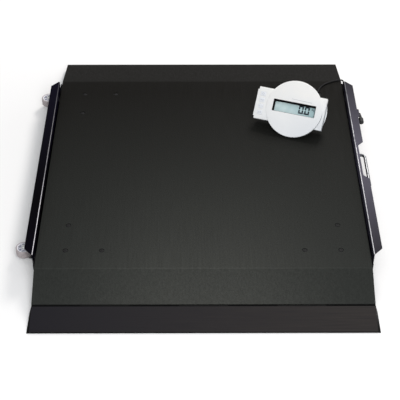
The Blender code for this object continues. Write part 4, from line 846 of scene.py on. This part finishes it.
# Painted shade on the nose, the hinge knuckles and the flared sides.
nose_shade = add(tree, "MapRange", {0: place.outputs["Y"], 1: nose_y + 0.0006, 2: nose_y})
knuckle_shade = add(tree, "MapRange", {0: place.outputs["Y"], 1: knuckle_y, 2: knuckle_y + 0.0008})
aside = away_from(tree, place.outputs["X"], row_shift.x)
skirt_shade = add(tree, "MapRange", {0: aside, 1: skirt_x, 2: skirt_x + 0.0008})
shaded_edges = add(tree, "Math", {0: nose_shade, 1: knuckle_shade}, operation="MAXIMUM")
shaded_edges = add(tree, "Math", {0: shaded_edges, 1: skirt_shade}, operation="MAXIMUM")
tone = add(tree, "Mix", {0: shaded_edges, 6: tone, 7: "040404"}, data_type="RGBA")
peel = add(tree, "TexNoise", {"Vector": spot, "Scale": 1 / 0.0030, "Detail": 1.0})
surfaced(tree, tone, streaks, (0.42, 0.56), peel, 0.00004, Specular_IOR_Level=0.08)
eased("ramp_flap", 0.0004, semi_gloss)
# Oxide leaves the hinge nearly as dark as the gap that it lies in.
hinge_steel = mottled("black_oxide_hinge_steel", ("050505", "0A0A0B"), 0.0018, (0.65, 0.75), 0.00003,
                      Specular_IOR_Level=0.04)
for name in ("ramp_hinge", "ramp_pin"):
    eased(name, 0.0002, hinge_steel)

# Junction box
# A grey ABS box under the right side gathers the four cell leads. Its lid faces the floor,
# held by four cross-recess screws, and the leads enter through ribbed rubber grommets.

# Moulded ABS has an even, half-matt grain. Solder resist is a glossy green film.
moulded_abs = mottled("moulded_grey_abs", ("505254", "5E6062"), 0.0009, (0.5, 0.62), 0.00006)
solder_resist = mottled("solder_resist", ("1F5A31", "2C7040"), 0.0020, (0.25, 0.35), 0.00003)
eased("junction_box", 0.0004, moulded_abs)
eased("junction_lid", 0.0005, moulded_abs)
eased("junction_board", 0.0002, solder_resist)
box_low, box_high = own_box("junction_box")
lid_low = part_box("junction_lid")[0].z
lid_screws = bmesh.new()
for x in (box_low.x + 0.0065, box_high.x - 0.0065):
    for y in (box_low.y + 0.0065, box_high.y - 0.0065):
        turned([(0.0027, lid_low + 0.0008), (0.0028, lid_low + 0.0002), (0.0024, lid_low - 0.0006),
                (0.0012, lid_low - 0.0009), (0.0010, lid_low - 0.0004)], (x, y, 0), "Z", 24, into=lid_screws)
lid_screws = piece("junction_lid_screws", lid_screws, turned_steel)
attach(lid_screws, "platform")

# Cell leads
# Four grey 3.2 mm leads run along the tubes from the load cells to the box, and each enters
# it through a rubber grommet. The small saddles that clip them to the frame are left out.
cell_lead_radius = 0.0016
beside_tube = 0.0330
under_tube = 0.0182
box_lead_z = 0.0385
box_x, box_y = ((box_low + box_high) / 2).xy
box_half = (box_high.x - box_low.x) / 2
# Plain PVC is even and half-matt.
cell_lead_pvc = mottled("grey_lead_pvc", ("3E4043", "4A4C50"), 0.0009, (0.45, 0.55), 0.00004)
for name, (side, end) in corners.items():
    low, high = own_box("load_cell_" + name)
    wall_x = box_x + side * box_half
    inlet = wall_x + side * 0.006
    gate_y = box_y + end * 0.012
    start_x = side * 0.2950
    start_y = end * (abs(low.y + high.y) / 2 - 0.0125)
    inner_x = side * 0.3695
    knots = [(start_x, start_y, 0.0335), (start_x, start_y - end * 0.012, 0.0335),
             (start_x + side * 0.022, start_y - end * 0.030, beside_tube),
             (inner_x - side * 0.010, start_y - end * 0.055, beside_tube),
             (inner_x, start_y - end * 0.085, beside_tube)]
    if end < 0:
        knots += [(inner_x, -0.060, beside_tube), (inner_x, -0.034, 0.0290),
                  (inner_x, -0.0185, under_tube + 0.0008), (inner_x, 0.0, under_tube),
                  (inner_x, 0.0185, under_tube + 0.0008)]
        if side < 0:
            knots += [(inner_x + 0.006, 0.0300, 0.0250), (inner_x + 0.028, 0.0350, 0.0300)]
    elif side < 0:
        knots += [(inner_x, 0.090, beside_tube), (inner_x + 0.008, 0.062, beside_tube),
                  (inner_x + 0.030, 0.0500, beside_tube)]
    if side < 0:
        lane = 0.0350 if end < 0 else 0.0500
        knots += [(x, lane, beside_tube) for x in (-0.28, -0.16, -0.04, 0.08, 0.18)]
        knots += [(0.222, (lane + gate_y) / 2, 0.0350), (inlet - 0.012, gate_y, box_lead_z)]
    elif end < 0:
        knots += [(inner_x, 0.0330, 0.0240), (inner_x + 0.0005, gate_y - 0.012, 0.0340),
                  (inlet + 0.0005, gate_y - 0.004, box_lead_z)]
    else:
        knots += [(inner_x, 0.130, 0.0340), (inner_x + 0.0005, gate_y + 0.016, 0.0370),
                  (inlet + 0.0005, gate_y + 0.004, box_lead_z)]
    knots += [(inlet - side * 0.008, gate_y, box_lead_z)]
    line = through(knots)[::3] + [Vector(knots[-1])]
    rings = []
    for i, spot in enumerate(line):
        way = (line[min(len(line) - 1, i + 1)] - line[max(0, i - 1)]).normalized()
        across = way.cross(Vector((0, 0, 1))).normalized()
        upward = across.cross(way)
        rings.append([spot + (across * math.cos(a) + upward * math.sin(a)) * cell_lead_radius
                      for a in (math.pi * k / 5 for k in range(10))])
    cell_lead = piece("cell_lead_" + name, skin(rings), cell_lead_pvc)
    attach(cell_lead, "platform")
    grommet = turned([(0.0021, wall_x - side * 0.0005), (0.0044, wall_x - side * 0.0005),
                      (0.0044, wall_x + side * 0.0012), (0.0034, wall_x + side * 0.0018),
                      (0.0034, wall_x + side * 0.0026), (0.0026, wall_x + side * 0.0034),
                      (0.0021, wall_x + side * 0.0034)], (0, gate_y, box_lead_z), "X", 28, hoop=True)
    grommet = piece("lead_grommet_" + name, grommet, foot_rubber)
    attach(grommet, "platform")

# Display socket
# A round nylon socket goes through the right rail, with a fluted collar that the plug's ring
# screws against.
eased("cable_socket", 0.0004, moulded_nylon)

# Display: dial cover
# A round cover of white ABS, 157 mm across, with a thin rim. It lies over the band of the
# display and frames its window, and is moulded with a finely spark-eroded front.
dial_radius = 0.0786
dial_round = 0.0011
window_low, window_high = (-0.0606, -0.0146), (0.0592, 0.0185)
band_left, band_right = -0.1073, 0.0852
band_half = 0.0450
band_face = -0.0031
band_rear = -0.0165
back_front = -0.0168
# A painted light makes the white warmer and paler at the top, and painted shade leaves it
# cooler and darker at the lower right. Its mould leaves a grain too fine to see, which takes
# the edge off its gloss.
white_abs, tree, spot = new_finish("moulded_white_abs")
place = add(tree, "SeparateXYZ", {"Vector": spot})
# Painted light and shade: paler at the top, cooler and darker at the lower right.
height = add(tree, "MapRange", {0: place.outputs["Z"], 1: 0.062, 2: 0.150})
reach = add(tree, "MapRange", {0: place.outputs["X"], 1: 0.235, 2: 0.330})
low = add(tree, "Math", {0: 1.0, 1: height}, operation="SUBTRACT")
shaded_lower_right = add(tree, "Math", {0: low, 1: reach}, operation="MULTIPLY")
clouds = add(tree, "TexNoise", {"Vector": spot, "Scale": 1 / 0.030, "Detail": 3.0})
lit_top_tone = add(tree, "Mix", {0: height, 6: "F0F2F4", 7: "F4F3F0"}, data_type="RGBA")
painted_light_tone = add(tree, "Mix", {0: shaded_lower_right, 6: lit_top_tone, 7: "D8DDE2"}, data_type="RGBA")
faint = add(tree, "MapRange", {0: clouds, 1: 0.3, 2: 0.7, 3: 0.0, 4: 0.3})
tone = add(tree, "Mix", {0: faint, 6: painted_light_tone, 7: "EEF0F2"}, data_type="RGBA")
# Painted shade darkens the corner under the dial's lower right edge, and the joint between
# the band and the back at the right end. Each mask goes from an unshaded place to a shaded one.
to_display = display_place.inverted()
laid = add(tree, "Mapping", {"Vector": spot, "Location": to_display.translation,
                             "Rotation": to_display.to_euler()})
u, v, w = add(tree, "SeparateXYZ", {"Vector": laid}).outputs
from_middle = add(tree, "VectorMath", {0: laid}, operation="LENGTH")
shaded_places = []
for masks in (
        ((from_middle, dial_radius, dial_radius + 0.0001),
         (from_middle, dial_radius + 0.0020, dial_radius + 0.0002),
         (w, -0.0080, -0.0050), (v, 0.0100, -0.0100), (u, 0.0, 0.0300)),
        ((u, band_right - 0.0001, band_right + 0.0001), (u, band_right + 0.0023, band_right + 0.0008),
         (w, band_rear + 0.0001, band_rear - 0.0001), (w, back_front - 0.0006, back_front - 0.0004))):
    shaded_place = 1.0
    for measure, unshaded, shaded in masks:
        mask = add(tree, "MapRange", {0: measure, 1: unshaded, 2: shaded})
        shaded_place = add(tree, "Math", {0: shaded_place, 1: mask}, operation="MULTIPLY")
    shaded_places.append(shaded_place)
painted_shade = add(tree, "Math", {0: shaded_places[0], 1: shaded_places[1]}, operation="MAXIMUM")
tone = add(tree, "Mix", {0: painted_shade, 6: tone, 7: "6E7276"}, data_type="RGBA")
erosion = add(tree, "TexNoise", {"Vector": spot, "Scale": 1 / 0.0007, "Detail": 2.0})
surfaced(tree, tone, clouds, (0.38, 0.48), erosion, 0.00003, Specular_IOR_Level=0.4)


def carve(made, *shapes):
    """Cut shapes, laid out on the display, out of a piece and keep what is left as its mesh."""
    tools = []
    for shape in shapes:
        tool = piece("cutter", shape, made.data.materials[0], display_place)
        cutting = made.modifiers.new("cutting", "BOOLEAN")
        cutting.operation = "DIFFERENCE"
        cutting.solver = "EXACT"
        cutting.object = tool
        tools.append(tool)
    bpy.context.view_layer.update()
    whole = made.evaluated_get(bpy.context.evaluated_depsgraph_get())
    left = bpy.data.meshes.new_from_object(whole)
    made.modifiers.clear()
    made.data = left
    left.shade_smooth()
    left.set_sharp_from_angle(angle=sharp_edge)
    for tool in tools:
        bpy.data.objects.remove(tool)


dial_profile = [(0.0762, -0.0025), (0.0762, -0.0077), (0.0765, -0.0080), (0.0783, -0.0080),
                (dial_radius, -0.0077), (dial_radius, -dial_round)]
dial_profile += [(dial_radius - dial_round * inward, -dial_round * (1 - upward))
                 for inward, upward in quarter(6)]
dial = piece("dial_cover_white", turned(dial_profile, (0, 0, 0), "Z", 128), white_abs, display_place)
carve(dial, boxed((-0.0827, -band_half - hair_gap, -0.0120), (0.0827, band_half + hair_gap, -0.0028), 0.0002),
      drafted(oblong(window_low, window_high, 0.0016),
              ((0, -0.0060), (0, -0.0005), (-0.0005, 0.0), (-0.0005, 0.0040))))
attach(dial, "platform")
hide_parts("dial_cover")

# Display: band
# The long band under the dial is the front half of the housing, moulded in the same white
# ABS. Its left end steps out around the keys, and two curved wings close the dial's back.
band_edge = 0.0010
band_line = rounded([(band_left, -band_half), (band_right, -band_half), (band_right, band_half),
                     (band_left, band_half), (band_left, 0.0375), (-0.1103, 0.0375),
                     (-0.1103, -0.0375), (band_left, -0.0375)], 0.0014, 4, only=(0, 1, 2, 3, 5, 6))
band_steps = [(0.0006, band_rear), (0, -0.0158), (0, band_face - band_edge)]
band_steps += [(band_edge * inward, band_face - band_edge * (1 - upward)) for inward, upward in quarter(4)]
band = piece("display_band_white", drafted(band_line, band_steps), white_abs, display_place)
hollow = oblong((-0.1049, -0.0426), (0.0828, 0.0426))
key_spots = {"key_power": 0.0264, "key_tare": 0.0088, "key_hold": -0.0088, "key_units": -0.0264}
key_u = -0.0935
key_half = (0.0075, 0.0060)
face_cut = 0.0020


def key_outline(v, grow, radius):
    """The outline of a key at its place up the display, grown by so much all round."""
    return oblong((key_u - key_half[0] - grow, v - key_half[1] - grow),
                  (key_u + key_half[0] + grow, v + key_half[1] + grow), radius)


openings = [oblong((window_low[0] - face_cut, window_low[1] - face_cut),
                   (window_high[0] + face_cut, window_high[1] + face_cut), 0.0008)]
openings += [key_outline(v, 0.0002, 0.0016) for v in key_spots.values()]
carve(band, drafted(hollow, ((0, -0.0200), (0, -0.0053))),
      *[drafted(line, ((0, -0.0080), (0, 0.0010))) for line in openings])
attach(band, "platform")
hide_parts("display_front")
wing_radius = 0.0759
wing_start = math.asin((band_half + 0.0006) / wing_radius)
wings = bmesh.new()
for side in (-1, 1):
    wing = [(wing_radius * math.cos(a), side * wing_radius * math.sin(a))
            for a in (wing_start + (math.pi - 2 * wing_start) * k / 32 for k in range(33))]
    slab(wing if side > 0 else wing[::-1], -0.0080, -0.0060, 0.0003, 2, wings)
wings = piece("dial_back_wings", wings, white_abs, display_place)
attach(wings, "platform")

# Display: back housing
# The back half tapers towards the rear and ends on the right in a curve. Two lugs on it
# carry the stand, and four screws in sunk holes join the halves.
arc_radius = 0.0900
arc_half = math.acos(band_right / arc_radius)
back_line = [(band_left, -band_half), (band_right, -band_half)]
back_line += [(arc_radius * math.cos(a), arc_radius * math.sin(a))
              for a in (arc_half * (k / 12 - 1) for k in range(25))]
back_line += [(band_right, band_half), (band_left, band_half)]
back_steps = [(draw, back_front - drop) for draw, drop in (
    (0.0008, 0), (0.00014, 0.0008), (0.00255, 0.0150), (0.0034, 0.0187), (0.0044, 0.0202),
    (0.0058, 0.0209), (0.0074, 0.0212))]
back = piece("display_back_white", drafted(back_line, back_steps), white_abs, display_place)
carve(back, drafted(hollow, ((0, -0.0160), (0.0040, -0.0358))),
      boxed((-0.0948, -0.0244, -0.0420), (-0.0528, 0.0244, -0.0340), 0.0002))
lug_centre = (0.030, -0.0435)
lug_radius = 0.0041
lug_root = -0.0369
lug_edge = 0.0003
lug = [(lug_centre[0] + lug_radius, lug_root)]
lug += [(lug_centre[0] + lug_radius * math.cos(a), lug_centre[1] + lug_radius * math.sin(a))
        for a in (-math.pi * k / 12 for k in range(13))]
lug += [(lug_centre[0] - lug_radius, lug_root)]
lugs = bmesh.new()
for side in (-1, 1):
    near, far = sorted((side * 0.0256, side * 0.0296))
    skin([[(u, v, w) for v, w in shifted(lug, -inset, closed=True)] for u, inset in (
        (near, lug_edge), (near + lug_edge, 0), (far - lug_edge, 0), (far, lug_edge))], into=lugs)
lugs = piece("stand_lugs", lugs, white_abs, display_place)
for made in (back, lugs):
    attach(made, "platform")
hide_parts("display_back")
case_screws = bmesh.new()
for u, v in ((-0.0990, -0.0350), (-0.0990, 0.0350), (0.0760, -0.0300), (0.0760, 0.0300)):
    turned([(0.0026, -0.0376), (0.0026, -0.0382), (0.0022, -0.0386), (0.0010, -0.0387), (0.0009, -0.0383)],
           (u, v, 0), "Z", 24, into=case_screws)
case_screws = piece("display_case_screws", case_screws, turned_steel, display_place)
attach(case_screws, "platform")

# Display: window, liquid-crystal panel and digits
# A black frame surrounds the grey-green glass of the panel. It shows zero on a weighing
# range with one decimal place, and its inner parts are a plain circuit board.

# The frame is moulded matt, so that it doesn't shine beside the glass.
black_abs = mottled("matt_black_abs", ("020203", "050506"), 0.0008, (0.6, 0.7), 0.00004,
                    Specular_IOR_Level=0.05)
# The frame is wider at the top and left, where its black partly stands in for the shade that falls into the
# window.
bezel = boxed((-0.0623, -0.0163, -0.0125), (0.0609, 0.0202, -0.0028), 0.0003)
bezel = piece("lcd_frame_black", bezel, black_abs, display_place)
glass_line = rounded(oblong((-0.0564, -0.0138), (0.0582, 0.0137)), 0.0032, 6, only=(3,))
carve(bezel, drafted(glass_line, ((0, -0.0140), (0, 0.0))))
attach(bezel, "platform")
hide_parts("lcd_bezel")
eased("display_board", 0.0002, solder_resist)
# The glass has an anti-glare face, which blurs what it mirrors. Its tint deepens to the right,
# and its left end is painted paler as painted light against the frame's shade.
lcd_glass, tree, spot = new_finish("liquid_crystal_glass")
place = add(tree, "SeparateXYZ", {"Vector": spot})
along = add(tree, "MapRange", {0: place.outputs["X"], 1: 0.240, 2: 0.335})
haze = add(tree, "TexNoise", {"Vector": spot, "Scale": 1 / 0.018, "Detail": 2.0})
# Painted light: the left end is paler against the shade of the frame.
teal_with_painted_light = add(tree, "Mix", {0: along, 6: "E9F8F8", 7: "88AAB3"}, data_type="RGBA")
tone = add(tree, "Mix", {0: haze, 6: teal_with_painted_light, 7: "ABC9CB"}, data_type="RGBA")
surfaced(tree, tone, haze, (0.22, 0.30), Specular_IOR_Level=0.3, IOR=1.5)
eased("lcd_panel", 0.0002, lcd_glass)
# A segment that is on turns the light away, and looks like flat blue-black ink.
lcd_ink = mottled("liquid_crystal_segment", ("041522", "061C2B"), 0.0015, (0.35, 0.45), 0.00001,
                  Specular_IOR_Level=0.2)
lcd_face = -0.0128
ink_levels = (lcd_face - 0.0001, lcd_face + 0.00012)
digit_size = (0.0138, 0.0228)
digit_v = 0.0027
stroke = 0.0042
segments = bmesh.new()


def bar(start, end, mitres):
    """One bar of a digit: mitred at a corner, where its outer edge runs on, and pointed elsewhere."""
    way = (Vector(end) - Vector(start)).normalized()
    across = Vector((-way.y, way.x)) * (stroke / 2)
    gap, point = way * (stroke * 0.04), way * (stroke * 0.46)
    ends = Vector(start) + gap, Vector(end) - gap
    outline = [ends[0], ends[0] + (-point if mitres[0] else point) - across,
               ends[1] + (point if mitres[1] else -point) - across, ends[1],
               ends[1] - point + across, ends[0] + point + across]
    skin([[(p.x, p.y, level) for p in outline] for level in ink_levels], into=segments)


for middle in (0.0178, 0.0348):
    a = digit_size[0] / 2 - stroke / 2
    b = digit_size[1] / 2 - stroke / 2
    spots = [(middle - a, digit_v - b), (middle + a, digit_v - b), (middle + a, digit_v),
             (middle + a, digit_v + b), (middle - a, digit_v + b), (middle - a, digit_v)]
    for i in range(6):
        bar(spots[i], spots[(i + 1) % 6], (i not in (2, 5), i not in (1, 4)))
dot_u, dot_v = 0.0263, digit_v - digit_size[1] / 2 + stroke * 0.45
dot_half = 0.0011
drafted(oblong((dot_u - dot_half, dot_v - dot_half), (dot_u + dot_half, dot_v + dot_half)),
        [(0, level) for level in ink_levels], segments)


def ribbon(line, width, level, rise, into):
    """A printed line of even width along flat points."""
    sides = zip(shifted(line, width / 2), shifted(line, -width / 2))
    skin([[(*a, level - rise), (*b, level - rise), (*b, level + rise), (*a, level + rise)]
          for a, b in sides], into=into)


for line in ([(0.0478, 0.0120), (0.0478, 0.0062)], [(0.0502, 0.0098), (0.0478, 0.0082), (0.0503, 0.0062)],
             [(0.0542, 0.0096), (0.0517, 0.0096), (0.0517, 0.0066), (0.0542, 0.0066)],
             [(0.0542, 0.0099), (0.0542, 0.0048), (0.0517, 0.0048)]):
    ribbon(line, 0.0008, lcd_face, 0.0001, segments)
segments = piece("lcd_digits", segments, lcd_ink, display_place)
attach(segments, "platform")
# Pad-printed rules dry to a thin, dull film.
pad_print = mottled("grey_pad_print", ("C9CBCE", "D3D5D8"), 0.0010, (0.6, 0.7), 0.00001)
rule = bmesh.new()
ribbon([(-0.0115, 0.0266), (0.0453, 0.0251)], 0.0014, 0.0, 0.00004, rule)
rule = piece("dial_printed_rule", rule, pad_print, display_place)
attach(rule, "platform")

# Keys
# Four soft polycarbonate keys at the left end switch on, set to zero, hold the value and
# change the unit. Their signs are printed in pale grey.

# Polycarbonate film is satin and even, and the print on it a little duller.
key_film = mottled("satin_polycarbonate", ("EBEEF3", "F1F3F7"), 0.0008, (0.40, 0.5), 0.00002,
                   Specular_IOR_Level=0.4)
key_ink = mottled("pale_grey_key_print", ("A6AAB6", "B2B6C0"), 0.0010, (0.5, 0.6), 0.00001)
key_top = band_face + 0.0004


def arc(centre, radius, start, end):
    """Points on an arc, in degrees."""
    turns = [math.radians(start + (end - start) * k / 16) for k in range(17)]
    return [(centre[0] + radius * math.cos(turn), centre[1] + radius * math.sin(turn)) for turn in turns]


key_signs = {
    "key_power": [arc((0, 0), 0.0026, 125, 415), [(0, 0.0008), (0, 0.0036)]],
    "key_tare": [[(-0.0048, 0), (-0.0018, 0)], [(-0.0030, 0.0011), (-0.0016, 0), (-0.0030, -0.0011)],
                 arc((0.0026, 0), 0.0020, 0, 360)],
    "key_hold": [[(-0.0040, -0.0022), (-0.0040, 0.0022)], [(0.0040, -0.0022), (0.0040, 0.0022)],
                 [(-0.0018, 0), (0.0018, 0)]],
    "key_units": [[(-0.0042, 0.0011), (0.0042, 0.0011)], [(0.0028, 0.0023), (0.0044, 0.0011)],
                  [(0.0042, -0.0011), (-0.0042, -0.0011)], [(-0.0028, -0.0023), (-0.0044, -0.0011)]],
}
for name, v in key_spots.items():
    cap = slab(key_outline(v, 0, 0.0012), -0.0066, key_top, 0.0003)
    slab(key_outline(v, 0.0012, 0.0016), -0.0068, -0.0056, 0.0001, 2, cap)
    cap = piece(name + "_cap", cap, key_film, display_place)
    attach(cap, name + "_cap")
    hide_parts(name)
    sign = bmesh.new()
    for line in key_signs[name]:
        ribbon([(key_u + a, v + b) for a, b in line], 0.0006, key_top, 0.00004, sign)
    sign = piece(name + "_sign", sign, key_ink, display_place)
    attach(sign, name + "_cap")

# Battery, cover and stand
# Four cells in a blue shrink sleeve lie behind a sliding cover with a ribbed thumb patch.
# Under them a flat leg folds out and props the display on the mat.

# The sleeve shrinks tight, and is glossy with soft waves.
shrink_sleeve = mottled("blue_shrink_sleeve", ("2F5E92", "3D72AB"), 0.0040, (0.2, 0.3), 0.00008)
eased("battery_pack", 0.0002, shrink_sleeve)
cover = slab(oblong((-0.1008, -0.0284), (-0.0468, 0.0284), 0.0016), -0.0403, -0.0383, 0.0004, 2)
cover = piece("battery_cover_white", cover, white_abs, display_place)
grooves = [boxed((u, -0.0100, -0.0420), (u + 0.0011, 0.0100, -0.0399), 0.0001)
           for u in (-0.0975 + 0.0024 * k for k in range(5))]
carve(cover, *grooves)
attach(cover, "battery_door")
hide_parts("battery_cover")
eased("display_stand", 0.0004, white_abs)
